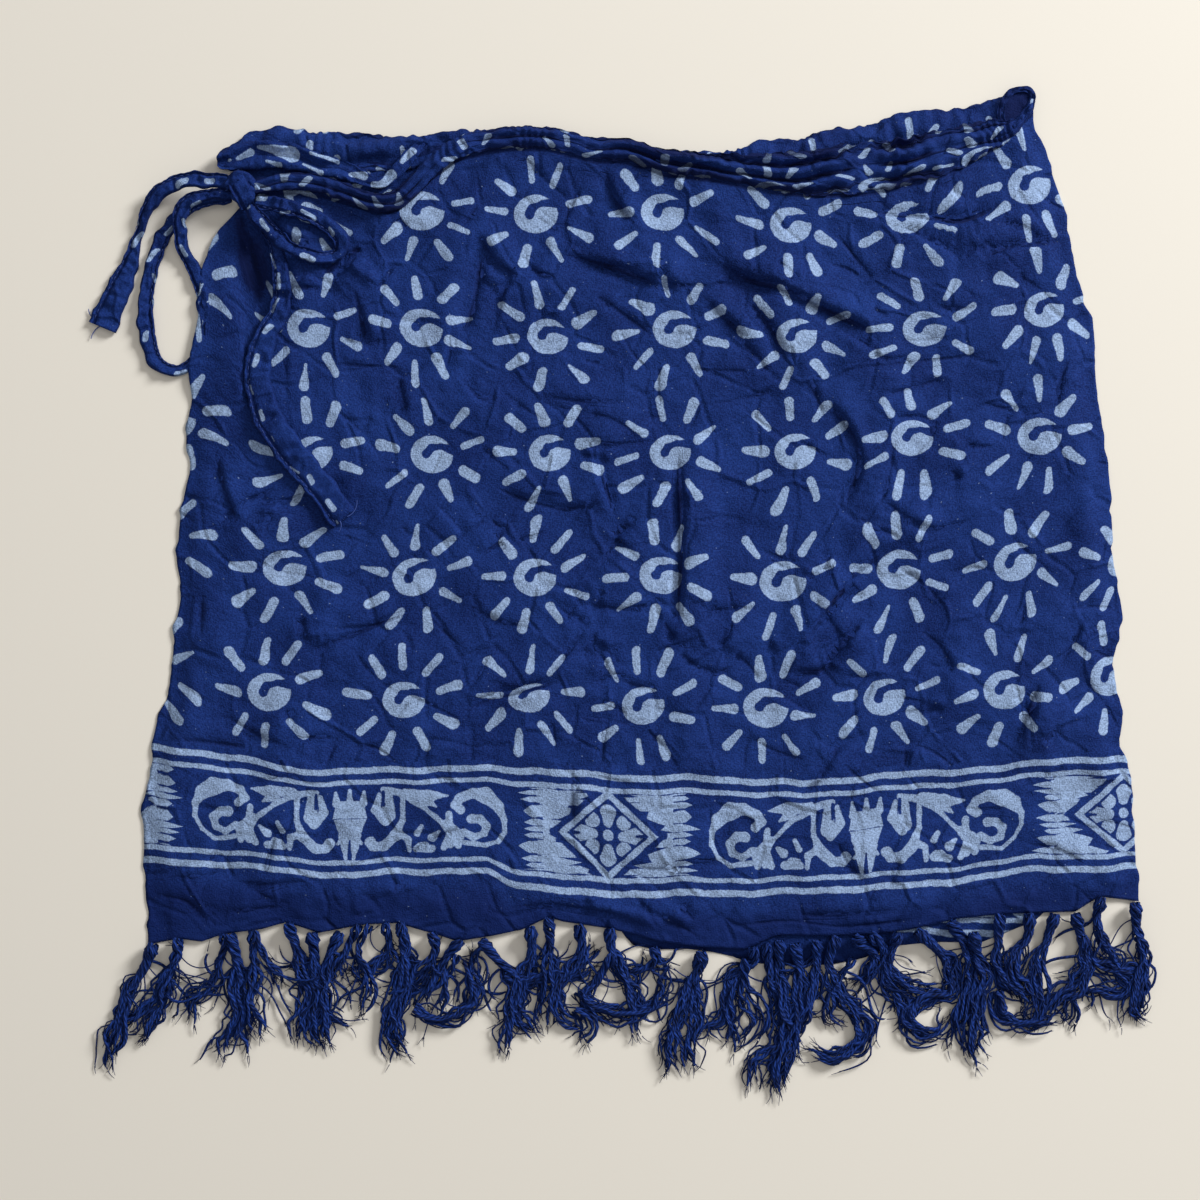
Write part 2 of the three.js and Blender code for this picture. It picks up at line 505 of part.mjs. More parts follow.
// ---- pieces -------------------------------------------------------------------------------------
const skirt = new THREE.Group();
function piece(name, geometry, look) {
  const mesh = new THREE.Mesh(geometry, new THREE.MeshStandardMaterial(look));
  mesh.name = name;
  skirt.add(mesh);
}

// Back layer: flat on the surface, the whole width, its hem lower than the front's on the right.
const BACK_SIDE_ROWS = [207, 165, 107, 54, 2, -53, -98, -133];
const BACK_TOP = [
  { x: -196, y: 229 }, { x: -150, y: 229 }, { x: -100, y: 229.6 }, { x: -50, y: 232.4 },
  { x: -20, y: 227.6 }, { x: 20, y: 222.6 }, { x: 60, y: 221.6 }, { x: 100, y: 227.4 },
  { x: 136, y: 233.6 }, { x: 160, y: 239.6 }, { x: 196, y: 244.6 }, { x: 207, y: 245 },
];
piece('back_panel', flatWall([
  ...BACK_HEM,
  ...[...BACK_SIDE_ROWS].reverse().map((y) => ({ x: rightX(y) - SIDE_INSET, y })),
  ...[...BACK_TOP].reverse(),
  ...BACK_SIDE_ROWS.map((y) => ({ x: leftX(y) + SIDE_INSET, y })),
], 0), UNDER_LOOK);

// Inner layer: the end of the cloth that the front laps over, from the left fold to near the right.
const INNER_REACH = 196;      // its free edge, hidden under the front
const INNER_HEM = -140;
piece('inner_panel', flatWall([
  { x: leftX(INNER_HEM) + SIDE_INSET, y: INNER_HEM }, { x: INNER_REACH, y: INNER_HEM },
  { x: INNER_REACH, y: 214 }, { x: -100, y: 214 }, { x: -128, y: 214 }, { x: -150, y: 220 },
  { x: -176, y: 226 }, { x: -186, y: 222 }, { x: -186, y: 212 },
  ...BACK_SIDE_ROWS.map((y) => ({ x: leftX(y) + SIDE_INSET, y })),
], CLOTH + GAP), UNDER_LOOK);

// Front layer: lies over both, with the largest folds.
piece('front_panel', clothWall(FRONT_COLUMNS, FRONT_ROWS, (u, v) => {
  const { x, y } = frontPoint(u, v);
  return { x, y, low: frontLow(x, y) };
}), CLOTH_LOOK);

// Waist casings of the three layers.
piece('back_waistband', casing(BACK_BAND, { count: 76, low: 0, high: 3.9, swell: 0.7 }), BAND_LOOK);
piece('inner_waistband', casing(INNER_BAND, { count: 30, low: 4.7, high: 6.9, swell: 0.3 }), BAND_LOOK);
piece('front_waistband', casing(FRONT_BAND, { count: 96, low: 4.6, high: 8.8, swell: 0.7 }), BAND_LOOK);

// The bow: a knot, a tail and a loop to the left off the cloth, a loop and a tail over the front.
const KNOT = { x: -201.4, y: 218.6, z: 10, acrossX: 8.6, acrossY: 8.4, half: 5.4 };
const knot = new THREE.SphereGeometry(1, 16, 12);
knot.scale(KNOT.acrossX, KNOT.acrossY, KNOT.half);
knot.translate(KNOT.x, KNOT.y, KNOT.z);
piece('tie_knot', knot, BAND_LOOK);
piece('tie_left_tail', tie(LEFT_TAIL, 26), BAND_LOOK);
piece('tie_left_loop', tie(LEFT_LOOP, 56), BAND_LOOK);
piece('tie_right_loop', tie(RIGHT_LOOP, 34), BAND_LOOK);
piece('tie_right_tail', tie(RIGHT_TAIL, 36), BAND_LOOK);

// Hem fringes; the back layer's shows only where its hem hangs below the front's.
const BACK_FRINGE = { from: 10, to: 216 };
const frontHemPoints = Array.from({ length: FRONT_COLUMNS + 1 }, (_, c) => frontPoint(c / FRONT_COLUMNS, 1));
const backHemPoints = BACK_HEM.filter((point) => point.x >= BACK_FRINGE.from && point.x <= BACK_FRINGE.to);
piece('front_fringe', fringe(FRONT_TASSELS, frontHemPoints, HEM_LIFT + 0.4), YARN_LOOK);
piece('back_fringe', fringe(BACK_TASSELS, backHemPoints, GAP), YARN_LOOK);

export default skirt;
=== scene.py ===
"""A batik wrap skirt laid flat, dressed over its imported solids.

Lengths are in millimetres until a mesh is made. X runs across the skirt, Y from hem to waist and
Z up from the surface that it lies on.
"""
import math

import bpy
import numpy as np
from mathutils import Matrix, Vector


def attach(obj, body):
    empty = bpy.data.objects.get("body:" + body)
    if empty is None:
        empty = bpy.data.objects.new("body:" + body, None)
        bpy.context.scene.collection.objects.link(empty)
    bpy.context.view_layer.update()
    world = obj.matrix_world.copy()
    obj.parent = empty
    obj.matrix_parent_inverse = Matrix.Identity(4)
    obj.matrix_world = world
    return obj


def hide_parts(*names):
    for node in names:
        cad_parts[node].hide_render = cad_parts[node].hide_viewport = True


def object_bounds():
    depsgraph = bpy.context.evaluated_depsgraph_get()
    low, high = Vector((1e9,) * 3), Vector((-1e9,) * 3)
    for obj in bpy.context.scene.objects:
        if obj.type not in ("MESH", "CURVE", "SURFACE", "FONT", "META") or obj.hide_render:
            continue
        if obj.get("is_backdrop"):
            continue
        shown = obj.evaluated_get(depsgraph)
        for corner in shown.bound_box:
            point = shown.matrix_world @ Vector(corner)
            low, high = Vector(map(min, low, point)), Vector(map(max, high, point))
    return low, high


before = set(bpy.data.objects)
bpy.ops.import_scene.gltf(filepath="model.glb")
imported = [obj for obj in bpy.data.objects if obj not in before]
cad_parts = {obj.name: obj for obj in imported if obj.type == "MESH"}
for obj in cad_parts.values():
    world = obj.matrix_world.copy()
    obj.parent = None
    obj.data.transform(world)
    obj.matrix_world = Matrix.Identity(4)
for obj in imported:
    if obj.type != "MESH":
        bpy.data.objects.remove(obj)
cad_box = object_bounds()


# ---- camera and light ----------------------------------------------------------------------------
# Seen from straight above, from 1.1 m up. Soft daylight falls in low from the upper right, and the
# pale room fills the shadows a little.
MM = 0.001
VIEW_WIDTH = 648.0
VIEW_CENTRE = (-10.3, -1.1)
EYE_HEIGHT = 1100.0


def look_down():
    """The eye, right above the middle of the view."""
    camera = bpy.data.cameras.new("eye")
    camera.sensor_width = 36
    camera.lens = camera.sensor_width * EYE_HEIGHT / VIEW_WIDTH
    camera.clip_end = 20
    eye = bpy.data.objects.new("eye", camera)
    eye.location = (VIEW_CENTRE[0] * MM, VIEW_CENTRE[1] * MM, EYE_HEIGHT * MM)
    bpy.context.scene.collection.objects.link(eye)
    bpy.context.scene.camera = eye


def area_light(name, place, size, watts, colour):
    """A round light that is aimed at the skirt's middle."""
    light = bpy.data.lights.new(name, "AREA")
    light.shape = "DISK"
    light.size = size
    light.energy = watts
    light.color = colour
    lamp = bpy.data.objects.new(name, light)
    lamp.location = place
    aim = -lamp.location
    lamp.rotation_euler = aim.to_track_quat("-Z", "Y").to_euler()
    bpy.context.scene.collection.objects.link(lamp)


look_down()
area_light("window", (2.45, 1.95, 1.62), 1.25, 154, (1.0, 1.0, 0.995))
area_light("room", (0.2, 0.3, 2.4), 2.2, 10, (1.0, 0.985, 0.96))
world = bpy.data.worlds.new("room")
world.use_nodes = True
background = world.node_tree.nodes["Background"]
background.inputs["Color"].default_value = (1.0, 0.975, 0.945, 1)
background.inputs["Strength"].default_value = 0.3
bpy.context.scene.world = world
bpy.context.scene.view_settings.view_transform = "Standard"


# ---- front layer ---------------------------------------------------------------------------------
# The lapped front of the skirt: one thickness of thin plain-woven rayon, resist-dyed with suns and
# a hem strip, its side edges turned and pressed. It keeps soft folds and the sharper creases of
# cloth that was packed and shaken out; a crease takes some cloth in and squeezes the print.
CLOTH = 0.5          # thickness of a crumpled layer of rayon


def rows_of(names, *rows):
    """A table with a name for each column."""
    return [dict(zip(names.split(), row)) for row in rows]


def column(rows, along, value):
    """A table read as a function, straight from row to row."""
    ordered = sorted(rows, key=lambda row: row[along])
    keys = [row[along] for row in ordered]
    values = [row[value] for row in ordered]
    return lambda at: np.interp(at, keys, values)


SIDES = rows_of("y left right",
    (262, -203, 222.6), (253, -203.6, 223.6), (242, -204, 229.4), (223, -206, 236),
    (207, -208, 241), (193, -219, 243.6), (177, -224.2, 247), (165, -226.8, 249.3),
    (151, -227.2, 255), (138, -230, 256.3), (123, -232.2, 256.8), (107, -229.6, 258.8),
    (91, -234.4, 260.8), (68, -231.8, 263.6), (54, -236, 264.6), (24, -238.7, 266.3),
    (2, -236.6, 269.3), (-14, -240.4, 271), (-34, -241.3, 265.8), (-53, -242.6, 269.8),
    (-62, -249, 271.6), (-78, -251.2, 270.2), (-98, -253.4, 276.6), (-112, -257.6, 277.2),
    (-133, -255.5, 279), (-150, -256.5, 279.8), (-164, -255, 280.3), (-187, -254.4, 280.6))
FRONT_HEM = rows_of("x y",
    (-254.4, -187), (-237, -183.6), (-225, -185.2), (-213, -181), (-192, -178.2), (-179, -174.6),
    (-162, -180.4), (-138, -176), (-120, -175), (-96, -182), (-87, -185), (-68, -182),
    (-52, -178.6), (-38, -172), (-30, -174.4), (-4, -178.2), (22, -185.2), (43, -188), (68, -189.4),
    (85, -181.6), (113, -182), (136, -181), (157, -178.6), (182, -172.8), (206, -170.2),
    (246, -169), (259, -160.8), (280.6, -163.6))
FRONT_BAND = rows_of("x y half z",
    (-197, 219.6, 3.4, 9.4), (-190.5, 221, 4, 10), (-178, 222.6, 4.4, 10.2),
    (-160, 221.6, 4.6, 10.2), (-146, 217, 4.6, 9.8), (-131, 212, 4.6, 9), (-120, 213.6, 4.8, 8),
    (-110, 221.6, 4.8, 7.6), (-100, 231.5, 4.8, 8.4), (-88, 240.4, 5, 8.6), (-74, 245, 5.4, 7.2),
    (-55, 247.4, 5.6, 6.6), (-36, 246.6, 5.8, 6.6), (-16, 241.4, 5.6, 6.6), (4, 240.6, 6, 6.6),
    (24, 234.6, 6, 6.6), (44, 232.4, 6.4, 6.6), (64, 230, 8, 6.6), (84, 228.6, 10, 6.6),
    (105, 228.6, 12, 6.6), (125, 230.4, 13, 6.6), (146, 232.6, 13, 6.6), (166, 237.4, 12, 6.6),
    (184, 243, 10.4, 6.6), (200, 248.6, 7.8, 6.6), (209, 252, 5.2, 6.4), (214.4, 256, 3.2, 6.2),
    (219.6, 262, 2.6, 5.8), (222, 267.6, 1.8, 5.4))
left_x = column(SIDES, "y", "left")
right_x = column(SIDES, "y", "right")
front_hem = column(FRONT_HEM, "x", "y")
band_y = column(FRONT_BAND[:-3], "x", "y")
band_half = column(FRONT_BAND[:-3], "x", "half")
TOP_LEFT = (-208.0, 207.0)
TOP_RIGHT = (222.6, 262.0)


def under_casing(x):
    """The front layer's edge goes 1 mm under its casing."""
    return band_y(x) - band_half(x) + 1.0


def front_top(x):
    """The upper edge of the front layer: up to its casing, along it, and up to the right corner."""
    start = FRONT_BAND[0]["x"]
    slope = (under_casing(start) - TOP_LEFT[1]) / (start - TOP_LEFT[0])
    corner = TOP_LEFT[1] + slope * (x - TOP_LEFT[0])
    last = TOP_RIGHT[1] - under_casing(TOP_RIGHT[0])
    rise = np.interp(x, [205, 213, 218, TOP_RIGHT[0]], [0, 4, 11, last])
    return np.where(x < start, corner, under_casing(x) + rise)


def front_point(u, v):
    """The outline stretched over the layer: u across, v from waist to hem."""
    top_x = TOP_LEFT[0] + (TOP_RIGHT[0] - TOP_LEFT[0]) * u
    first, last = FRONT_HEM[0], FRONT_HEM[-1]
    hem_x = first["x"] + (last["x"] - first["x"]) * u
    left_y = TOP_LEFT[1] + (first["y"] - TOP_LEFT[1]) * v
    right_y = TOP_RIGHT[1] + (last["y"] - TOP_RIGHT[1]) * v
    x = left_x(left_y) * (1 - u) + right_x(right_y) * u
    corners = ((TOP_LEFT[1] * (1 - u) + TOP_RIGHT[1] * u) * (1 - v)
               + (first["y"] * (1 - u) + last["y"] * u) * v)
    y = front_top(top_x) * (1 - v) + front_hem(hem_x) * v + left_y * (1 - u) + right_y * u - corners
    return x, y


def smoothstep(low, high, value):
    """Eases from 0 at low to 1 at high."""
    t = np.clip((np.asarray(value, float) - low) / (high - low), 0, 1)
    return t * t * (3 - 2 * t)


def value_noise(x, y, cell, seed):
    """Soft noise between -1 and 1 with lumps about one cell wide."""
    grid = np.random.default_rng(seed).uniform(-1, 1, (64, 64))
    gx, gy = np.asarray(x) / cell + 200.37, np.asarray(y) / cell + 200.71
    ix, iy = np.floor(gx).astype(int), np.floor(gy).astype(int)
    fx, fy = gx - ix, gy - iy
    fx, fy = fx * fx * (3 - 2 * fx), fy * fy * (3 - 2 * fy)
    corner = lambda i, j: grid[i % 64, j % 64]
    low = corner(ix, iy) * (1 - fx) + corner(ix + 1, iy) * fx
    high = corner(ix, iy + 1) * (1 - fx) + corner(ix + 1, iy + 1) * fx
    return low * (1 - fy) + high * fy


def eased(points, spacing):
    """Points at an even spacing along a smooth curve through the given ones."""
    points = np.asarray(points, float)
    padded = np.vstack([2 * points[0] - points[1], points, 2 * points[-1] - points[-2]])
    fine = []
    for i in range(len(points) - 1):
        p0, p1, p2, p3 = padded[i:i + 4]
        t = np.linspace(0, 1, 24, endpoint=False)[:, None]
        fine.append(0.5 * (2 * p1 + (p2 - p0) * t + (2 * p0 - 5 * p1 + 4 * p2 - p3) * t ** 2
                           + (3 * p1 - p0 - 3 * p2 + p3) * t ** 3))
    fine = np.vstack([*fine, points[-1:]])
    steps = np.linalg.norm(np.diff(fine[:, :2], axis=0), axis=1)
    travel = np.concatenate([[0], np.cumsum(steps)])
    count = max(int(travel[-1] / spacing), 3)
    at = np.linspace(0, travel[-1], count + 1)
    return at, np.stack([np.interp(at, travel, fine[:, k]) for k in range(points.shape[1])], -1)


def sides_of(path):
    """Unit vectors to the left of a path in the plane."""
    forward = np.gradient(path[:, :2], axis=0)
    forward /= np.linalg.norm(forward, axis=1)[:, None]
    return np.stack([-forward[:, 1], forward[:, 0]], -1)


FOLDS = rows_of("x1 y1 x2 y2 bow height reach",
    (-178, 204, -170, 160, 3, 4.6, 10), (-206, 190, -208, 132, -2, 2.8, 10),
    (-78, 206, -50, 168, 2, 3.6, 9), (-86, 190, -90, 132, -3, 3, 10),
    (-32, 192, 22, 176, 2, 3.4, 9), (30, 176, 76, 140, 3, 3.6, 9), (60, 184, 140, 148, 2, 4.6, 10),
    (2, 226, 14, 190, -2, 3, 8), (164, 212, 214, 217, -3, 3, 9), (190, 188, 240, 196, 2, 2.8, 10),
    (84, 158, 100, 124, 2, 2.6, 9), (120, 108, 136, 50, 4, 3.2, 10), (42, 80, 40, -18, 2, 4.2, 10),
    (-68, 70, -8, 58, -2, 2.6, 9), (20, 48, -10, 8, 3, 3, 9), (96, -16, 156, 38, 4, 4, 11),
    (92, -34, 140, -6, -3, 3, 9), (-172, -20, -104, 4, 3, 3, 10), (-86, -54, -28, -38, 2, 3.4, 9),
    (234, -40, 222, -84, 3, 3.4, 10), (132, -66, 98, -112, 3, 2.8, 10),
    (184, 2, 182, -54, -2, 2.6, 10), (-212, 66, -202, 30, 2, 2.4, 9),
    (-46, -166, 16, -172, 3, 3, 7))

# Creases: depth, half-width, how much print each hides, and the points it runs through.
CREASES = [
    (1.6, 2.6, 3, (-75, 196), (-65, 181), (-52, 173)),
    (1.1, 2.2, 1, (-52, 187), (-44, 176), (-34, 174)),
    (2.0, 2.6, 4, (-30, 186), (-12, 181), (2, 177), (21, 170), (40, 169)),
    (1.8, 2.2, 3, (21, 184), (22, 171), (28, 160)), (1.9, 2.4, 3, (48, 161), (59, 150), (70, 139)),
    (1.1, 2.4, 1, (23, 130), (22, 111), (25, 104)),
    (1.5, 3.6, 2, (-72, 186), (-76, 161), (-82, 141)),
    (1.2, 2.4, 1, (-86, 117), (-76, 107), (-65, 106)),
    (1.0, 2.6, 1, (-46, 111), (-22, 107), (8, 107)), (0.9, 2.2, 1, (38, 124), (70, 123)),
    (1.7, 2.4, 2, (-6, 232), (-3, 217), (10, 200)), (0.8, 2.2, 0, (-41, 197), (-26, 197)),
    (2.6, 3.0, 5, (55, 180), (71, 172), (89, 167), (107, 158), (129, 148), (138, 141)),
    (2.0, 2.6, 3, (71, 159), (83, 145), (91, 127)),
    (1.4, 2.6, 1, (117, 197), (125, 188), (138, 171)),
    (1.5, 2.8, 2, (195, 181), (210, 187), (238, 191)),
    (1.0, 2.8, 1, (124, 125), (155, 128), (203, 133)), (1.2, 2.2, 1, (103, 119), (111, 99)),
    (1.0, 2.4, 1, (143, 110), (174, 119)),
    (2.4, 2.6, 9, (134, 206), (154, 204.4), (170, 203), (186, 202), (210, 212)),
    (0.9, 2.6, 0, (-223, 4), (-224, -23)), (1.5, 2.6, 1, (-216, 77), (-212, 61), (-204, 39)),
    (1.0, 2.2, 0, (-210, 49), (-185, 60)), (1.1, 2.2, 1, (-199, 49), (-165, 50)),
    (1.2, 2.2, 1, (-170, -8), (-167, -24)),
    (1.6, 2.8, 2, (-166, -27), (-144, -19), (-128, -12), (-110, -5)),
    (0.9, 2.2, 0, (-150, 35), (-132, 29)), (1.4, 2.2, 2, (-180, -59), (-179, -71)),
    (1.0, 3.2, 1, (-240, -74), (-192, -80)), (1.1, 2.4, 1, (-175, -76), (-161, -74), (-144, -76)),
    (1.5, 2.4, 2, (-67, 61), (-51, 54), (-31, 49), (-13, 51)),
    (1.6, 2.4, 2, (-13, 83), (-9, 61), (-3, 42)), (1.0, 2.2, 1, (46, 107), (39, 90)),
    (2.6, 2.4, 4, (33, 75), (34, 39), (34, 15), (32, -14)), (1.2, 2.2, 1, (24, -11), (32, -24)),
    (1.5, 2.4, 2, (11, 42), (-2, 32), (-12, 17)), (1.0, 2.2, 1, (-8, 4), (-20, -5)),
    (1.5, 2.4, 2, (-53, 45), (-64, 32), (-76, 23)), (1.0, 2.2, 0, (-28, -8), (-18, -14)),
    (1.3, 2.2, 1, (-3, -22), (-8, -35), (-13, -44)), (1.3, 2.2, 1, (63, -11), (55, -28)),
    (1.0, 2.2, 1, (81, -21), (86, -32)), (0.8, 2.4, 0, (44, -6), (75, -4)),
    (2.0, 2.2, 7, (-84, -62), (-59, -53), (-31, -46)), (1.0, 2.2, 1, (-35, -66), (-33, -82)),
    (1.8, 2.6, 2, (113, 107), (124, 92), (129, 82), (130, 70), (123, 49)),
    (1.2, 2.2, 1, (179, 70), (185, 64)), (2.2, 2.8, 4, (99, -22), (117, 2), (132, 15), (150, 26)),
    (1.8, 2.4, 3, (92, -39), (110, -37), (125, -21), (133, -11)),
    (1.3, 2.4, 1, (206, -21), (217, -14), (220, -2)),
    (2.2, 2.6, 3, (227, -46), (222, -62), (215, -81)), (1.2, 2.4, 1, (254, -29), (265, -34)),
    (1.7, 2.4, 1, (-248, -159), (-232, -163), (-219, -174)),
    (1.0, 2.2, 0, (-207, -151), (-192, -153), (-167, -151)),
    (1.0, 2.0, 0, (-210, -168), (-180, -165)), (1.3, 2.0, 1, (-123, -150), (-120, -160)),
    (1.0, 2.0, 0, (-144, -171), (-132, -168)), (1.0, 2.2, 1, (-60, -139), (-56, -148)),
    (1.1, 3.0, 1, (-24, -89), (-23, -124)), (1.3, 2.2, 0, (30, -165), (41, -176)),
    (1.2, 3.2, 1, (125, -71), (110, -96), (98, -109)), (1.0, 2.4, 1, (157, -71), (154, -96)),
    (2.2, 3.4, 2, (-140, 187), (-152, 169)), (1.4, 2.6, 1, (-122, 180), (-132, 166)),
    (1.6, 3.0, 2, (-141, 165), (-134, 135)), (0.9, 2.4, 1, (-154, 127), (-116, 125)),
    (0.9, 2.4, 0, (-118, 120), (-113, 99)), (1.6, 3.2, 1, (-202, 138), (-200, 99)),
    (0.9, 2.4, 0, (-180, 135), (-178, 117)), (1.2, 2.6, 2, (118, -130), (124, -142), (134, -152)),
    (1.3, 1.8, 0, (-58, -166), (-40, -165), (-10, -168), (8, -171)),
    (1.2, 1.6, 0, (-50, -171), (-38, -168), (-18, -171), (6, -175)),
    (1.1, 2.2, 0, (60, -176), (92, -173), (120, -176), (160, -172)),
    (2.7, 7.0, 0, (-204, 212), (-199, 198), (-195, 182), (-191, 166), (-190, 156)),
    (2.4, 3.6, 1, (-187, 200), (-178, 193), (-166, 191)),
    (2.0, 4.6, 1, (-158, 172), (-148, 180), (-137, 187)),
    (1.0, 2.4, 0, (10, -166), (26, -172), (44, -182)),
    (1.0, 2.2, 0, (84, -168), (110, -170), (150, -167))]


def short_creases():
    """The lesser creases, scattered over the cloth: straight or hardly bowed, mostly aslant."""
    random = np.random.default_rng(12)
    found = []
    for _ in range(230):
        x, y = random.uniform(-250, 275), random.uniform(-178, 228)
        heading = math.radians(random.choice([-38, -12, 25, 70, 140]) + random.uniform(-16, 16))
        reach = random.uniform(6, 20)
        bow = random.uniform(-0.22, 0.22) * reach
        dx, dy = math.cos(heading), math.sin(heading)
        found.append((random.uniform(0.35, 1.15), random.uniform(1.4, 2.3), random.uniform(0, 0.7),
                      (x - dx * reach, y - dy * reach), (x - dy * bow, y + dx * bow),
                      (x + dx * reach, y + dy * reach)))
    return found


def fold_height(x, y):
    """Height that the soft folds add."""
    total = np.zeros_like(x)
    for fold in FOLDS:
        dx, dy = fold["x2"] - fold["x1"], fold["y2"] - fold["y1"]
        size = math.hypot(dx, dy)
        dx, dy = dx / size, dy / size
        share = ((x - fold["x1"]) * dx + (y - fold["y1"]) * dy) / size
        bow = fold["bow"] * np.sin(np.pi * np.clip(share, 0, 1))
        across = (y - fold["y1"]) * dx - (x - fold["x1"]) * dy - bow
        past = np.maximum(np.maximum(-share, share - 1), 0) * size
        away = (across ** 2 + past ** 2) / (0.77 * fold["reach"] ** 2)
        total += 0.62 * fold["height"] * np.exp(-away)
    return total


def crease_relief(x, y):
    """Height that the creases add, how far each moves the print to either side of itself, and the
    distance to the nearest one's line with its strength, which sets its groove and its painted
    shade."""
    height = np.zeros_like(x)
    shift_x, shift_y = np.zeros_like(x), np.zeros_like(x)
    to_line, strength, second = np.full_like(x, 9.0), np.zeros_like(x), np.zeros_like(x)
    for number, (depth, half, hidden, *points) in enumerate(CREASES + short_creases()):
        along, path = eased(points, 4.0)
        side = sides_of(path)
        total = along[-1]
        margin = 34 if half > 2.3 else 16
        near = ((x > path[:, 0].min() - margin) & (x < path[:, 0].max() + margin)
                & (y > path[:, 1].min() - margin) & (y < path[:, 1].max() + margin))
        px, py = x[near], y[near]
        dist2 = (px[:, None] - path[None, :, 0]) ** 2 + (py[:, None] - path[None, :, 1]) ** 2
        nearest = dist2.argmin(1)
        normal = side[nearest]
        signed = ((px - path[nearest, 0]) * normal[:, 0] + (py - path[nearest, 1]) * normal[:, 1])
        past = np.sqrt(np.maximum(dist2.min(1) - signed ** 2, 0))
        share = along[nearest] / total
        wander = 0.75 + 0.25 * np.sin(share * 9 + number * 2.1)
        wide = max(half / 2.6, 1.0)
        taper = np.minimum(smoothstep(-0.05, 0.28, share), smoothstep(1.05, 0.72, share)) * wander
        fade = taper * np.exp(-(past / (1.6 * half)) ** 2)
        # Most creases fall away towards the upper right; every fourth one leans the other way.
        lit = normal @ np.array([0.75, 0.66])
        lean = np.where((lit > 0) ^ (number % 4 == 3), 1.0, -1.0)
        lip = signed * lean
        drop_off = 0.5 + 0.5 * np.tanh((lip - 0.3) / (0.42 * half))
        shape = (drop_off * np.exp(-(np.maximum(lip, 0) / (3.4 * half)))
                 - 0.75 * np.exp(-((lip + 0.9 * half) / (1.3 * half)) ** 2))
        height[near] += 1.7 * depth * fade * shape
        bite = fade * depth * wide ** 0.7 * smoothstep(5.5, 2.5, np.abs(signed) / wide)
        stronger = bite > strength[near]
        to_line[near] = np.where(stronger, (lip + 0.5 * half) / wide, to_line[near])
        second[near] = np.where(stronger, strength[near], np.maximum(second[near], bite))
        strength[near] = np.where(stronger, bite, strength[near])
        pull = 0.5 * hidden * np.tanh(signed / (0.9 * half)) * np.exp(-(signed / 18) ** 2) * fade
        shift_x[near] += pull * normal[:, 0]
        shift_y[near] += pull * normal[:, 1]
    return height, shift_x, shift_y, to_line, strength - second


LOWEST = 0.8         # upper side of the layer where it lies on the floor
LAYERED = 3.6        # and where the back and the lapped end lie beneath it
RIM_REACH = 14       # it comes down from there to its sides over this much
WAIST_LIFT, HEM_DROP, LOOP_LIFT = 2.4, 1.4, 2.6
SIDE_INSET = 17.0    # the layers beneath stop this far inside the front one's sides


def front_height(x, y):
    """The upper side of the front layer over what lies beneath, without its creases."""
    side = np.maximum(np.minimum(x - left_x(y), right_x(y) - x), 0)
    from_hem = np.maximum(y - front_hem(x), 0)
    from_waist = np.maximum(front_top(x) - y, 0)
    loop = LOOP_LIFT * smoothstep(100, 118, y) * smoothstep(196, 172, y) * (x < 0)
    lowest = LOWEST + loop
    rim = lowest + (LAYERED - lowest) * smoothstep(1, RIM_REACH, side)
    hem = -HEM_DROP * smoothstep(20, 0, from_hem) * smoothstep(0, RIM_REACH, side)
    waist = WAIST_LIFT * smoothstep(24, 0, from_waist)
    inside = smoothstep(0, 16, side) * smoothstep(0, 12, from_hem) * smoothstep(0, 12, from_waist)
    return np.maximum(rim + hem, LOWEST) + waist + fold_height(x, y) * inside, inside


def crumpled(x, y):
    """The soft unevenness of thin cloth that was balled up and shaken out."""
    soft = 1.9 * value_noise(x + 0.3 * y, y, 31, 1) + 1.15 * value_noise(x, y - 0.4 * x, 15, 2)
    return soft + 0.35 * value_noise(x, y + 0.3 * x, 6.5, 8)


def front_relief(x, y):
    """The upper side of the front layer, and how far its creases move the print."""
    height, inside = front_height(x, y)
    crease, shift_x, shift_y, to_line, strength = crease_relief(x, y)
    # The folded sides and the hem are pressed round: they pucker in short waves.
    side = np.minimum(x - left_x(y), right_x(y) - x)
    pucker = 0.5 * value_noise(x, y * 1.4, 8, 5) * smoothstep(12, 2, side)
    hem = smoothstep(26, 6, y - front_hem(x))
    waves = 0.5 * value_noise(x / 3, y, 4.5, 6) + 0.3 * value_noise(x / 2, y, 2.6, 9)
    pucker = pucker + hem * waves
    z = height + (1.3 * crease + 1.1 * crumpled(x, y)) * (0.35 + 0.65 * inside) + pucker
    # Along the casing's foot the crease line follows its seam: a groove in the relief and a painted
    # shadow under the casing's lower edge.
    foot = front_top(x) - y - 1.9 + 0.7 * value_noise(x, 0 * x, 9, 17)
    foot_groove_and_shadow = (np.abs(foot) < 5.0) & (x > FRONT_BAND[0]["x"])
    to_line = np.where(foot_groove_and_shadow, foot, to_line)
    strength = np.where(foot_groove_and_shadow, 1.6 + 0.5 * value_noise(x, 0 * x, 21, 18), strength)
    least = 0.7 + 1.75 * smoothstep(SIDE_INSET - 8, SIDE_INSET - 2, side)
    above = z - least
    return least + 0.5 * (above + np.sqrt(above ** 2 + 0.35)), shift_x, shift_y, to_line, strength


# The drawing is laid out on the cloth: a sun in each cell of the field and, along the hem, a strip
# of scrolls and diamonds between double lines, the common repeats of such cloth drawn anew.
CELL_X, CELL_Y = 66.0, 65.0
SUN_REACH = 24.0     # how far round it a sun's middle steers the grid
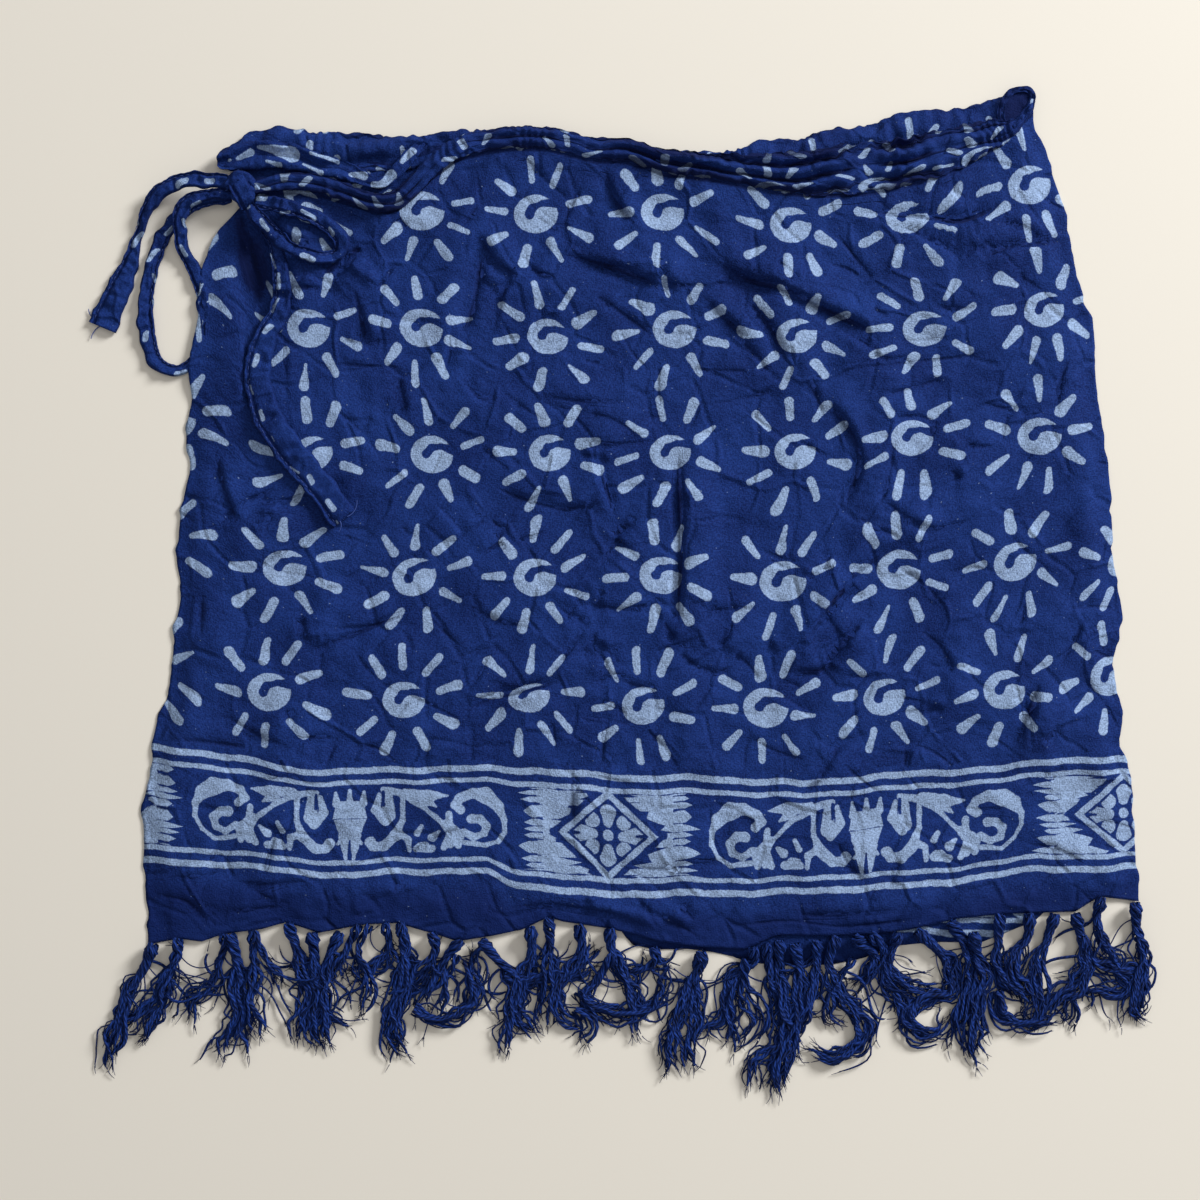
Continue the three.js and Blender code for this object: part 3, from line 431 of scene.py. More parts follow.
# The row, the first sun's place in it and the suns' middles; between them the cloth's own grid is
# eased to pass through each.
SUN_ROWS = [
    (3, -1, (-105.8, 207.9), (-45.4, 206.8), (23.2, 207.4), (92.3, 199.8), (154.4, 204.1),
     (220.8, 222.6)),
    (2, -3, (-235, 170), (-166.9, 144.7), (-106.9, 145.8), (-38.3, 140.4), (30.2, 144.7),
     (95.6, 140.4), (165.2, 144.7), (229, 155.5)),
    (1, -3, (-240, 96), (-164.2, 77.2), (-100.4, 77.2), (-37.3, 78.3), (27.5, 78.3), (95, 78.8),
     (157.1, 86.9), (226.3, 86.9)),
    (0, -3, (-250, 30), (-180.4, 16.2), (-110.2, 11.3), (-45.4, 10.8), (22.1, 12.4), (88, 8.6),
     (150.7, 15.1), (212.8, 19.4)),
    (-1, -3, (-255, -38), (-188.5, -50.8), (-116.1, -55.1), (-48.1, -53.5), (12.4, -58.3),
     (78.8, -59.4), (142.6, -53.5), (207.4, -49.7), (264.1, -41.6))]


def sun_place(x, y):
    """Flat-cloth coordinates of a point, so that each sun's middle falls in its own cell's."""
    weight, move_x, move_y = np.full_like(x, 1e-4), np.zeros_like(x), np.zeros_like(x)
    for row, first, *middles in SUN_ROWS:
        for step, (cx, cy) in enumerate(middles):
            near = np.exp(-((x - cx) ** 2 + (y - cy) ** 2) / (2 * SUN_REACH ** 2))
            weight += near
            move_x += near * ((first + step) * CELL_X - cx)
            move_y += near * (row * CELL_Y - cy)
    return x + move_x / weight, y + move_y / weight


REPEAT = 278.0       # from diamond to diamond along the hem
STRIP = 64.0         # outer line to outer line
BORDER_LINES = rows_of("x top low",
    (-254, -79, -143.6), (-219, -82.6, -144.4), (-172, -91.8, -148.6), (-144, -91.8, -151.2),
    (-119, -91, -148.5), (-98, -90.2, -148.8), (-71, -90.4, -149), (-60, -90.6, -154.6),
    (-49, -90.7, -156.6), (-19, -93.6, -160.9), (10, -95, -160.9), (50, -95.6, -160.9),
    (98, -98.3, -159.8), (122, -96.1, -158.4), (160, -93.2, -156.1), (176, -91.8, -154.6),
    (206, -90.4, -150.7), (226, -86.4, -146.9), (240, -85.4, -147.4), (266, -85.8, -148),
    (280, -86, -145.8))
border_top = column(BORDER_LINES, "x", "top")
border_low = column(BORDER_LINES, "x", "low")
FIRST_DIAMOND = -5.9


def border_place(x, y):
    """Along and across the hem strip, with the strip's own height between its two outer lines."""
    top, low = border_top(x), border_low(x)
    inside = STRIP * (y - low) / (top - low)
    across = np.where(y > top, STRIP + y - top, np.where(y < low, y - low, inside))
    return x - FIRST_DIAMOND, across


def make_mesh(name, points, faces, layers=None, material=None):
    """A smooth mesh from points in millimetres, with its UV layers given at the points."""
    mesh = bpy.data.meshes.new(name)
    points = np.asarray(points, np.float32).reshape(-1, 3)
    groups = faces if isinstance(faces, tuple) else (faces,)
    corners = np.concatenate([np.asarray(group, np.int32).ravel() for group in groups])
    sizes = np.concatenate([np.full(len(group), np.shape(group)[1]) for group in groups])
    starts = np.concatenate([[0], np.cumsum(sizes)[:-1]]).astype(np.int32)
    mesh.vertices.add(len(points))
    mesh.vertices.foreach_set("co", (points * MM).ravel())
    mesh.loops.add(len(corners))
    mesh.loops.foreach_set("vertex_index", corners)
    mesh.polygons.add(len(sizes))
    mesh.polygons.foreach_set("loop_start", starts)
    mesh.polygons.foreach_set("use_smooth", np.ones(len(sizes), bool))
    mesh.update(calc_edges=True)
    for layer, uv in (layers or {}).items():
        made = mesh.uv_layers.new(name=layer)
        flat = np.asarray(uv, np.float32).reshape(-1, 2)[corners] * MM
        made.data.foreach_set("uv", flat.ravel())
    piece = bpy.data.objects.new(name, mesh)
    bpy.context.scene.collection.objects.link(piece)
    if material:
        mesh.materials.append(material)
    return piece


def grid_faces(rows, columns, start=0, closed=False, flip=False):
    """The quads of a grid of points, or of a tube where the last column meets the first."""
    r, c = np.meshgrid(np.arange(rows - 1), np.arange(columns if closed else columns - 1),
                       indexing="ij")
    a = start + r * columns + c
    b = start + r * columns + (c + 1) % columns
    quads = np.stack([a, b, b + columns, a + columns], -1).reshape(-1, 4)
    return quads[:, ::-1] if flip else quads


def ring_of(rows, columns):
    """The points round a grid, in order."""
    return np.concatenate([np.arange(columns), np.arange(1, rows) * columns + columns - 1,
                           rows * columns - 2 - np.arange(columns - 1),
                           np.arange(rows - 2, 0, -1) * columns])


def shell(name, top, thickness, layers, material, coarse=3):
    """A thin closed layer of cloth whose upper side is a grid of points. Its hidden underside
    has one face for every coarse by coarse of the upper side's."""
    rows, columns = top.shape[:2]
    under = top[::coarse, ::coarse] - np.array([0, 0, thickness])
    count = rows * columns
    few_rows, few_columns = under.shape[:2]
    ring = ring_of(rows, columns)
    low_ring = ring_of(few_rows, few_columns) + count
    after = np.roll(ring, -1)
    low = np.repeat(low_ring, coarse)
    low_after = np.roll(low_ring, -1)
    # Each short edge above meets one corner below, and each long edge below one corner above.
    side = np.stack([ring, after, low], -1)
    side[coarse - 1::coarse, 2] = low_after
    foot = np.stack([low_ring, ring[coarse - 1::coarse], low_after], -1)
    quads = np.concatenate([grid_faces(rows, columns, flip=True),
                            grid_faces(few_rows, few_columns, count)])
    both = {key: np.concatenate([uv.reshape(-1, 2), uv[::coarse, ::coarse].reshape(-1, 2)])
            for key, uv in layers.items()}
    points = np.concatenate([top.reshape(-1, 3), under.reshape(-1, 3)])
    return make_mesh(name, points, (quads, side, foot), both, material)


def linear(hex_colour):
    """An sRGB colour such as 8ca2be as Blender's linear one."""
    parts = [int(hex_colour[i:i + 2], 16) / 255 for i in (0, 2, 4)]
    return (*[c / 12.92 if c <= 0.04045 else ((c + 0.055) / 1.055) ** 2.4 for c in parts], 1.0)


def add_node(tree, kind, inputs=(), **settings):
    """Adds a node, sets its settings, and fills its inputs: numbers, links or a tuple of them."""
    node = tree.nodes.new(kind)
    for name, value in settings.items():
        setattr(node, name, value)
    for key, value in dict(inputs).items():
        if isinstance(value, tuple) and isinstance(value[0], Field):
            value = add_node(tree, "ShaderNodeCombineXYZ", enumerate(value)).outputs[0]
        if isinstance(value, Field):
            value = value.socket
        if isinstance(value, bpy.types.NodeSocket):
            tree.links.new(value, node.inputs[key])
        else:
            node.inputs[key].default_value = value
    return node


class Field:
    """A number worked out at each point of a surface, written as ordinary arithmetic."""

    def __init__(self, socket):
        self.socket = socket
        self.tree = socket.id_data

    def math(self, operation, *others):
        values = enumerate((self, *others))
        return Field(add_node(self.tree, "ShaderNodeMath", values, operation=operation).outputs[0])

    def __add__(self, other):
        return self.math("ADD", other)

    def __sub__(self, other):
        return self.math("SUBTRACT", other)

    def __rsub__(self, other):
        return self.math("MULTIPLY_ADD", -1.0, other)

    def __mul__(self, other):
        return self.math("MULTIPLY", other)

    def __truediv__(self, other):
        return self.math("DIVIDE", other)

    __radd__ = __add__
    __rmul__ = __mul__

    def __neg__(self):
        return self * -1.0

    def abs(self):
        return self.math("ABSOLUTE")

    def least(self, other):
        return self.math("MINIMUM", other)

    def most(self, other):
        return self.math("MAXIMUM", other)

    def ramp(self, low, high, to_low=0.0, to_high=1.0):
        node = add_node(self.tree, "ShaderNodeMapRange",
                        {0: self, 1: low, 2: high, 3: to_low, 4: to_high},
                        interpolation_type="SMOOTHSTEP")
        return Field(node.outputs[0])


def random_of(x, y, z=0.0):
    """Three steady random numbers for a cell."""
    node = add_node(x.tree, "ShaderNodeTexWhiteNoise", {"Vector": (x, y, z)},
                    noise_dimensions="3D")
    parts = add_node(x.tree, "ShaderNodeSeparateColor", {0: node.outputs["Color"]})
    return [Field(parts.outputs[i]) for i in range(3)]


def cloth_place(tree, layer):
    """The two flat-cloth coordinates that a mesh carries in a UV layer, in millimetres."""
    uv = add_node(tree, "ShaderNodeUVMap", uv_map=layer)
    parts = add_node(tree, "ShaderNodeSeparateXYZ", {0: uv.outputs[0]})
    return Field(parts.outputs[0]) * 1000.0, Field(parts.outputs[1]) * 1000.0


def unevenness(tree, **layers):
    """Layers of soft unevenness round 0.5, by name: the place, the lumps per millimetre, how much
    finer detail rides on them and how rough that is."""
    made = {}
    for name, (place, lumps, detail, roughness) in layers.items():
        node = add_node(tree, "ShaderNodeTexNoise",
                        {"Vector": place, "Scale": lumps, "Detail": detail, "Roughness": roughness},
                        noise_dimensions="3D")
        made[name] = Field(node.outputs[0])
    return made


def length(x, y):
    """How far a place is from 0, 0."""
    return (x * x + y * y).math("SQRT")


def disk(x, y, cx, cy, radius):
    """Distance to a round dot."""
    return length(x - cx, y - cy) - radius


def drop(x, y, ax, ay, bx, by, start, end):
    """Distance to a stroke from a to b, whose half-width goes from start to end."""
    dx, dy = bx - ax, by - ay
    size = dx * dx + dy * dy
    part = x.math("MULTIPLY_ADD", dx / size, -(ax * dx + ay * dy) / size)
    share = add_node(x.tree, "ShaderNodeMath", {0: y, 1: dy / size, 2: part},
                     operation="MULTIPLY_ADD", use_clamp=True)
    share = Field(share.outputs[0])
    near = (share.math("MULTIPLY_ADD", dx, ax), share.math("MULTIPLY_ADD", dy, ay))
    apart = add_node(x.tree, "ShaderNodeVectorMath", {0: near, 1: (x, y)}, operation="DISTANCE")
    return Field(apart.outputs["Value"]) - share.math("MULTIPLY_ADD", end - start, start)


def shortest(first, *rest):
    """Joins shapes: the distance to the nearest of them."""
    for other in rest:
        first = first.least(other)
    return first


def blended(softness, first, *rest):
    """Joins shapes with rounded inner corners, as a brush would."""
    for other in rest:
        first = first.math("SMOOTH_MIN", other, softness)
    return first


RAYS = 9
RAY_MIDDLE = 23.4    # from a sun's middle to that of each stroke round it
RAY_HALF = 5.4       # half the longest stroke, without its round ends
RAY_WIDE = 1.65      # half-width of the thinnest
SUN_DISC = (12.0, 10.3)
# The hook that is left open in the disc: from x, y to x, y, and the half-width at each end.
HOOK = [
    (-3.2, 0.0, -1.4, 3.3, 2.7, 2.1), (-1.4, 3.3, 4.0, 5.1, 2.1, 1.6),
    (4.0, 5.1, 12.4, 4.6, 1.6, 3.0)]
UNDRAWN = 90.0       # a distance at which nothing of a motif shows


def suns(x, y):
    """Distance to the nearest sun: a hooked swirl with a ring of short strokes round it."""
    place = (x / CELL_X).math("ROUND")
    row = (y / CELL_Y).math("ROUND")
    a, b = x - place * CELL_X, y - row * CELL_Y
    sway, grow, lean = random_of(place, row, 3.0)
    step = 2 * math.pi / RAYS
    angle = b.math("ARCTAN2", a) + sway * 0.24 + 0.27
    ray = (angle / step).math("ROUND")
    shift, tilt, plump = random_of(place * 7.0 + row, ray.math("FLOORED_MODULO", RAYS), 1.0)
    off = angle - ray * step + (tilt - 0.5) * 0.18
    reach = length(a, b)
    along = reach * off.math("COSINE") - RAY_MIDDLE - (shift - 0.5) * 2.6
    across = reach * off.math("SINE") + along * (tilt - 0.5) * 0.34
    half_width = plump + RAY_WIDE + along * (shift - 0.5) * 0.36
    stroke = length((along.abs() - (RAY_HALF - plump)).most(0.0), across) - half_width
    turn = (lean - 0.5) * 0.5
    cos, sin = turn.math("COSINE"), turn.math("SINE")
    size = grow * 0.12 + 0.9
    p, q = (a * cos - b * sin) / size, (a * sin + b * cos) / size
    disc = (length(p / SUN_DISC[0], q / SUN_DISC[1]) - 1.0) * 11.0
    hollow = blended(1.6, *[drop(p, q, *stroke) for stroke in HOOK])
    # The lowest row of the field is the last one above the hem strip.
    below = (-row - 1.5).most(0.0) * UNDRAWN
    return stroke.least(disc.most(-hollow)) + below


OUTER_LINE = (1.8, 1.75)     # inset from the strip's edge, and half-width
INNER_LINE = (8.7, 1.35)
DRAWN = 22.4         # half the height between the inner lines, which everything else keeps to
DIAMOND = (27.0, 23.6)
DIAMOND_LINE = 1.6   # its frame's half-width
TOOTH = 4.7          # from one tooth of a block to the next
TOOTH_STEM = 40.0    # from the diamond's middle to the blocks' feet
# Half a repeat of the scroll: from x, y to x, y, and the half-width at each end.
SCROLL = [
    (56.0, 3.0, 59.5, 9.0, 1.6, 3.5), (59.5, 9.0, 66.0, 13.8, 3.5, 4.6),
    (66.0, 13.8, 73.0, 15.4, 4.6, 3.0), (73.0, 15.4, 80.0, 12.8, 3.0, 2.4),
    (80.0, 12.8, 82.4, 8.6, 2.4, 2.4), (82.4, 8.6, 79.4, 6.0, 2.4, 2.5),
    (56.0, 3.0, 55.6, -4.0, 1.6, 1.1), (55.6, -4.0, 59.4, -11.0, 1.1, 1.0),
    (59.4, -11.0, 66.0, -15.4, 1.0, 1.1), (66.0, -15.4, 77.0, -13.4, 1.1, 1.5),
    (73.4, 0.4, 69.4, 0.2, 2.8, 2.3), (69.4, 0.2, 65.6, -3.8, 2.3, 2.1),
    (65.6, -3.8, 66.8, -8.8, 2.1, 1.9), (66.8, -8.8, 72.2, -10.6, 1.9, 1.8),
    (72.2, -10.6, 77.6, -7.0, 1.8, 2.2), (85.6, 3.8, 85.2, -1.4, 1.7, 1.7),
    (87.0, -2.4, 81.6, -9.4, 2.8, 4.2), (81.6, -9.4, 80.4, -15.4, 3.8, 1.7),
    (83.0, -10.4, 84.8, -15.4, 4.0, 1.6), (84.0, -10.0, 88.2, -16.4, 3.4, 1.8),
    (88.0, -2.8, 98.8, 8.4, 1.3, 1.2), (98.8, 8.4, 111.6, 16.4, 1.2, 2.0),
    (111.6, 16.4, 121.0, 18.4, 2.0, 1.6), (110.4, 13.6, 110.6, 0.4, 1.4, 1.3),
    (110.6, 0.4, 114.6, -9.2, 1.3, 3.0), (114.6, -9.2, 120.4, -15.0, 3.0, 2.8),
    (120.4, -15.0, 126.2, -14.8, 2.8, 2.4), (126.2, -14.8, 128.2, -11.6, 2.4, 3.0),
    (113.4, -7.0, 107.6, -10.4, 2.2, 1.8), (107.6, -10.4, 107.0, -17.4, 1.8, 1.1),
    (86.2, 14.4, 97.0, 14.8, 0.5, 3.8), (97.0, 14.8, 109.0, 17.8, 3.8, 1.8),
    (92.4, 8.4, 98.2, 12.8, 0.6, 3.0), (118.2, 15.2, 118.4, 3.0, 2.0, 4.0),
    (123.2, 15.6, 125.0, 6.8, 1.3, 2.4), (125.0, 6.8, 119.6, -0.8, 2.4, 2.4),
    (100.4, -2.4, 102.8, -6.8, 1.3, 1.8), (90.8, -6.4, 94.4, -9.6, 0.9, 2.7),
    (95.0, -16.4, 103.0, -16.0, 2.2, 2.2), (98.8, -14.0, 101.4, -14.2, 2.2, 2.2)]
# The bud's own strokes between two scrolls: two flares of its rim and the fork of its leaves.
BUD = [
    (131.4, 17.8, 132.0, 11.0, 0.8, 2.2), (139.0, 18.6, 139.0, 11.0, 0.9, 2.2),
    (132.6, -12.2, 137.5, -8.0, 0.8, 2.6)]


def border(x, y):
    """Distance to the hem strip's drawing; y goes from 0 at its lower line to STRIP at the top."""
    middle = STRIP / 2
    q = y - middle + (x * 0.11).math("SINE") * 0.6 + (x * 0.24 + 1.0).math("SINE") * 0.35
    outer, inner = [(q.abs() - (middle - inset)).abs() - half
                    for inset, half in (OUTER_LINE, INNER_LINE)]
    turn = (x / REPEAT).math("ROUND")
    p = (x - turn * REPEAT).abs()
    # A diamond frame round an eight-petalled flower.
    slope = DIAMOND[0] * DIAMOND[1] / math.hypot(*DIAMOND)
    edge = (p / DIAMOND[0] + q.abs() / DIAMOND[1] - 1.0) * slope
    frame_line = (edge + 1.7).abs() - DIAMOND_LINE
    up = q.abs()
    flower = shortest(drop(p, up, 8.0, 0, 14.4, 0, 2.6, 4.4),
                      drop(p, up, 0, 7.0, 0, 11.8, 2.6, 4.3), disk(p, up, 8.4, 6.9, 3.9))
    flower = flower.most(edge + 4.7).most(-drop(p, up, 15.4, 0, 20, 0, 0.6, 1.4))
    flower = flower.least(length(p, q) - 2.8)
    # Blocks beside the diamond, toothed and slit like a comb.
    bent = q + (q * 0.33 + turn * 2.0).math("SINE") * 1.5
    tooth = (bent / TOOTH).math("ROUND")
    deep, slit, notch = random_of(tooth, 5.0, turn + (x / 9000).math("SIGN"))
    off = (bent - tooth * TOOTH).abs() / (TOOTH / 2)
    point = 1.0 - off * 0.8 - off * off * 0.2
    stem = p - TOOTH_STEM - point * (deep * 8.5 + 3.0)
    block = stem.most(3.2 + notch * notch * 9.0 * off - edge)
    block = block.most(up - 21.4)
    between = TOOTH / 2 - (bent - tooth * TOOTH).abs() - 0.5
    cut = between.most(deep * deep * 9.0 + 34.5 - p).least(between.most(edge - slit * 8.0 + 1.0))
    block = block.most(-cut)
    scroll = blended(1.4, *[drop(p, q, *stroke) for stroke in SCROLL])
    scroll = scroll.most(-drop(p, q, 121.0, 17.0, 120.8, 9.0, 0.9, 0.9)).most(up - DRAWN)
    # The bud between two scrolls: a flared cup with a ragged rim over two hanging leaves.
    aside = REPEAT / 2 - p
    cup = (aside + q * 0.22 - 9.9).most(2.4 - q).most(q - 12.6)
    leaves = (aside - q * 0.34 - 8.2).most(q - 2.2).most(-9.0 - q)
    slit = aside - 0.5 + (q + 12.0) * 0.1
    tip = drop(p, q, 136.2, -7.5, 137.0, -20.6, 3.4, 1.1).most((-slit).least(-q - 9.0))
    bud = shortest(cup, leaves, tip, *[drop(p, q, *stroke) for stroke in BUD])
    return shortest(outer, inner, frame_line.most(up - DRAWN), flower, block, scroll, bud)


GROUND = "1b3679"            # the blue where the dye took lightly
GROUND_DEEP = "0b1b4e"       # and where it took best
PRINT = "8ba2c6"             # the cloth that the wax kept pale, a little stained
# Painted shade: the dark that crease lines, pleat valleys, strap rims and the casing's inside are
# painted towards.
CREASE_SHADE = "08113a"
SHEEN = "5c74d8"


def rayon_surface(tree, colour, height, rise, roughness, sheen, specular):
    """Ends a rayon material: matt, with its relief and the faint bluish sheen of its fibres."""
    bump = add_node(tree, "ShaderNodeBump", {"Height": height, "Strength": 1.0, "Distance": rise})
    surface = add_node(tree, "ShaderNodeBsdfPrincipled", {
        "Base Color": colour, "Roughness": roughness, "Normal": bump.outputs[0],
        "Sheen Weight": sheen, "Sheen Roughness": 0.4, "Specular IOR Level": specular})
    surface.inputs["Sheen Tint"].default_value = linear(SHEEN)
    add_node(tree, "ShaderNodeOutputMaterial", {0: surface.outputs[0]})


def cloth_material(name, layer, motif):
    """Plain-woven rayon, resist-dyed: matt with a faint sheen, a weave that speckles the print,
    uneven dye, hair cracks where the wax broke and painted shade along its creases. The weave is
    drawn at three threads' width."""
    material = bpy.data.materials.new(name)
    material.use_nodes = True
    tree = material.node_tree
    tree.nodes.clear()
    x, y = cloth_place(tree, layer)
    made = unevenness(
        tree, warp=((x * 1.5, y * 0.7), 1.0, 1.0, 0.5),
        weft=((x * 0.7, y * 1.5, 9.0), 1.0, 1.0, 0.5),
        vat=((x, y), 0.022, 3.0, 0.6), wax_fine=((x, y), 0.75, 2.0, 0.5),
        wax_broad=((x, y), 0.16, 1.0, 0.5), cracked=((x, y), 0.05, 0.0, 0.5),
        fleck=((x, y), 0.6, 0.0, 0.5), bend_x=((x, y), 0.05, 1.0, 0.5),
        bend_y=((x, y), 0.04, 1.0, 0.5), facet=((y, x, 5.0), 0.03, 1.0, 0.5),
        ripple=((x * 0.35, y, 2.0), 0.22, 1.0, 0.5), swell=((x, y), 0.06, 1.0, 0.4),
        dent=((x, y), 0.14, 1.0, 0.5))
    weave = (made["warp"] + made["weft"]) * 0.5
    dye = made["vat"].ramp(0.3, 0.7) * 0.4 + weave.ramp(0.38, 0.62) * 0.6
    # The strip's cloth is darker below its lower line, towards the hem.
    if motif is border:
        dye = dye * y.ramp(-16.0, -2.0, 0.35, 1.0)
    base = add_node(tree, "ShaderNodeMix", {0: dye, 6: linear(GROUND_DEEP), 7: linear(GROUND)},
                    data_type="RGBA")
    # The unsteady edge of hot wax drawn on by hand, its cracks, and drops that fell beside it.
    wobble = (made["wax_fine"] - 0.5) * 0.9 + (made["wax_broad"] - 0.5) * 1.6
    ink = (motif(x, y) + wobble * 0.8).ramp(-0.3, 0.3, 1.0, 0.0)
    cracks = add_node(tree, "ShaderNodeTexVoronoi", {"Vector": (x * 0.09, y * 0.03)},
                      feature="DISTANCE_TO_EDGE", voronoi_dimensions="2D")
    crack = Field(cracks.outputs["Distance"]).ramp(0.012, 0.03, 1.0, 0.0)
    crack = crack * made["cracked"].ramp(0.5, 0.56)
    ink = (ink * (1.0 - crack * 0.6)).most(made["fleck"].ramp(0.84, 0.88) * 0.4)
    tone = weave.ramp(0.36, 0.64, 0.68, 1.18) + (made["vat"] - 0.5) * 0.25
    pale = add_node(tree, "ShaderNodeMix", {0: 1.0, 6: linear(PRINT), 7: (tone, tone, tone)},
                    data_type="RGBA", blend_type="MULTIPLY")
    colour = add_node(tree, "ShaderNodeMix", {0: ink, 6: base.outputs[2], 7: pale.outputs[2]},
                      data_type="RGBA")
    # Hair creases: short straight lines between small facets, some standing and some sunk.
    bent = (x + made["bend_x"] * 8.0, y + made["bend_y"] * 8.0)
    facets = add_node(tree, "ShaderNodeTexVoronoi", {"Vector": bent, "Scale": 0.036},
                      feature="DISTANCE_TO_EDGE", voronoi_dimensions="2D")
    shown = made["facet"].ramp(0.42, 0.66, -0.8, 1.0)
    creased = Field(facets.outputs["Distance"]).ramp(0.0, 0.09, 1.0, 0.0) * shown
    # The line of each placed crease, made sharp, is sunk in the relief and painted darker: painted
    # shade. A deep one also gets a wider painted shade that stands for the shadow of its own lips.
    to_line, strength = cloth_place(tree, "crease")
    line = to_line.abs().ramp(0.0, 1.6, 1.0, 0.0) * strength
    hollow = to_line.abs().ramp(0.5, 5.2, 1.0, 0.0) * (strength - 1.7).most(0.0)
    shade = (line * 0.42 + hollow * 0.45).least(0.8)
    shaded = add_node(tree, "ShaderNodeMix",
                      {0: shade, 6: colour.outputs[2], 7: linear(CREASE_SHADE)}, data_type="RGBA")
    height = (made["swell"] * 2.6 + made["dent"] * 1.1 + creased * 0.9 + made["ripple"] * 0.5
              + weave * 0.6 - line * 0.8)
    rayon_surface(tree, shaded.outputs[2], height, MM, 0.8, 0.05, 0.08)
    return material


field_cloth = cloth_material("batik_field_rayon", "suns", suns)
border_cloth = cloth_material("batik_border_rayon", "border", border)


def print_strip(piece, top):
    """Gives the cloth below a line the hem strip's print instead of the field's."""
    piece.data.materials.append(border_cloth)
    middle = np.empty(len(piece.data.polygons) * 3, np.float32)
    piece.data.polygons.foreach_get("center", middle)
    middle = middle.reshape(-1, 3) / MM
    in_strip = middle[:, 1] < top(middle[:, 0])
    piece.data.polygons.foreach_set("material_index", in_strip.astype(np.int32))


def build_front():
    columns, rows = 325, 262
    u, v = np.meshgrid(np.linspace(0, 1, columns), np.linspace(0, 1, rows))
    x, y = front_point(u, v)
    z, shift_x, shift_y, to_line, strength = front_relief(x, y)
    edge = np.minimum(x - left_x(y), right_x(y) - x)
    ripple = value_noise(y, 0 * y, 7, 14) + 0.5 * value_noise(y, 0 * y, 3.5, 15)
    x = x + ripple * smoothstep(9, 0, edge)
    sun_x, sun_y = sun_place(x, y)
    strip_x, strip_y = border_place(x, y)
    layers = {"suns": np.stack([sun_x + shift_x, sun_y + shift_y], -1),
              "border": np.stack([strip_x + shift_x, strip_y + shift_y], -1),
              "crease": np.stack([to_line, strength], -1)}
    piece = shell("front_cloth", np.stack([x, y, z], -1), CLOTH, layers, field_cloth)
    print_strip(piece, lambda x: border_top(x) + 3.0)
    return piece


front_cloth = build_front()
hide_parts("front_panel")
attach(front_cloth, "root")


# ---- back and inner layers -----------------------------------------------------------------------
# The same length of rayon where it passes behind, and its lapped-over end that hides under the
# front. Both lie smooth and only their edges show; right of the middle the back's hem hangs lower.
BACK_LEVEL, INNER_LEVEL = 0.72, 1.55     # their upper sides above the floor
BACK_TOP, BACK_FOOT = 229.0, -150.0      # between these its sides follow the front's
INNER_TOP, INNER_FOOT = 238.0, -140.0
FLAT_LEFT, BACK_RIGHT = -222.0, 252.0
LAP_END = 196.0      # the lapped-over end's cut edge
LAP_CORNER = 13.5    # its upper left corner peeps out this much further
FLAT_STRIP_TOP = -86.0
SUNS_SHIFT = (20, -12)       # moves these layers' suns off the front's
BACK_HEM = rows_of("x y",
    (-236, -172), (-180, -167), (-100, -168), (-40, -164), (0, -172), (10, -187), (22, -189.6),
    (40, -189.4), (58, -192), (70, -196.6), (88, -198.6), (112, -197.8), (128, -194.6), (142, -188),
    (165, -185.6), (188, -186), (200, -181), (216, -174), (230, -160), (262, -154))
back_hem = column(BACK_HEM, "x", "y")


def flat_layer(name, node, z, x_of, y_of, place_border):
    """A smooth layer between the floor and the front one."""
    columns, rows = 121, 100
    u, v = np.meshgrid(np.linspace(0, 1, columns), np.linspace(0, 1, rows))
    x, y = x_of(u, v), y_of(u, v)
    wave = 0.12 * value_noise(x, y, 18, 7) + 0.06 * value_noise(x, y, 7, 8)
    top = np.stack([x, y, z + wave], -1)
    suns_place = np.stack([x + SUNS_SHIFT[0], y + SUNS_SHIFT[1]], -1)
    layers = {"suns": suns_place, "border": np.stack(place_border(x, y), -1)}
    piece = shell(name, top, CLOTH, layers, field_cloth)
    print_strip(piece, lambda x: FLAT_STRIP_TOP + 0 * x)
    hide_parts(node)
    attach(piece, "root")
    return piece


def back_border(x, y):
    """The strip runs a little aslant behind, and another part of its repeat shows."""
    return x + 61.0, y + 178.0 + 0.05 * (x - 100)


def back_x(u, v):
    y = BACK_TOP + (BACK_FOOT - BACK_TOP) * v
    return (left_x(y) + SIDE_INSET) * (1 - u) + (right_x(y) - SIDE_INSET) * u


def back_y(u, v):
    x = FLAT_LEFT + (BACK_RIGHT - FLAT_LEFT) * u
    top = np.interp(x, [-200, -50, 20, 60, 136, 196, 250], [236, 238, 223, 222, 234, 246, 250])
    return top + (back_hem(x) - top) * v


def inner_x(u, v):
    y = INNER_TOP + (INNER_FOOT - INNER_TOP) * v
    inset = SIDE_INSET - LAP_CORNER * smoothstep(192, 206, y)
    return (left_x(y) + inset) * (1 - u) + LAP_END * u


def inner_y(u, v):
    x = FLAT_LEFT + (LAP_END - FLAT_LEFT) * u
    top = np.interp(x, [-208, -198, -176, -150, -128, -112, 196],
                    [236, 239, 238, 234, 232, 238, 214])
    return top + (INNER_FOOT - top) * v


back_cloth = flat_layer("back_cloth", "back_panel", BACK_LEVEL, back_x, back_y, back_border)
inner_cloth = flat_layer("inner_cloth", "inner_panel", INNER_LEVEL, inner_x, inner_y, border_place)


# ---- waist casings -------------------------------------------------------------------------------
# The top edge of each layer turned down, stitched along its foot and drawn up on a cord, so that
# it is crimped across by gathers and, where it is bunched on the right, pleated lengthways.
STRIP_STEP = 17.0    # from one stroke to the next along a narrow strip of the cloth


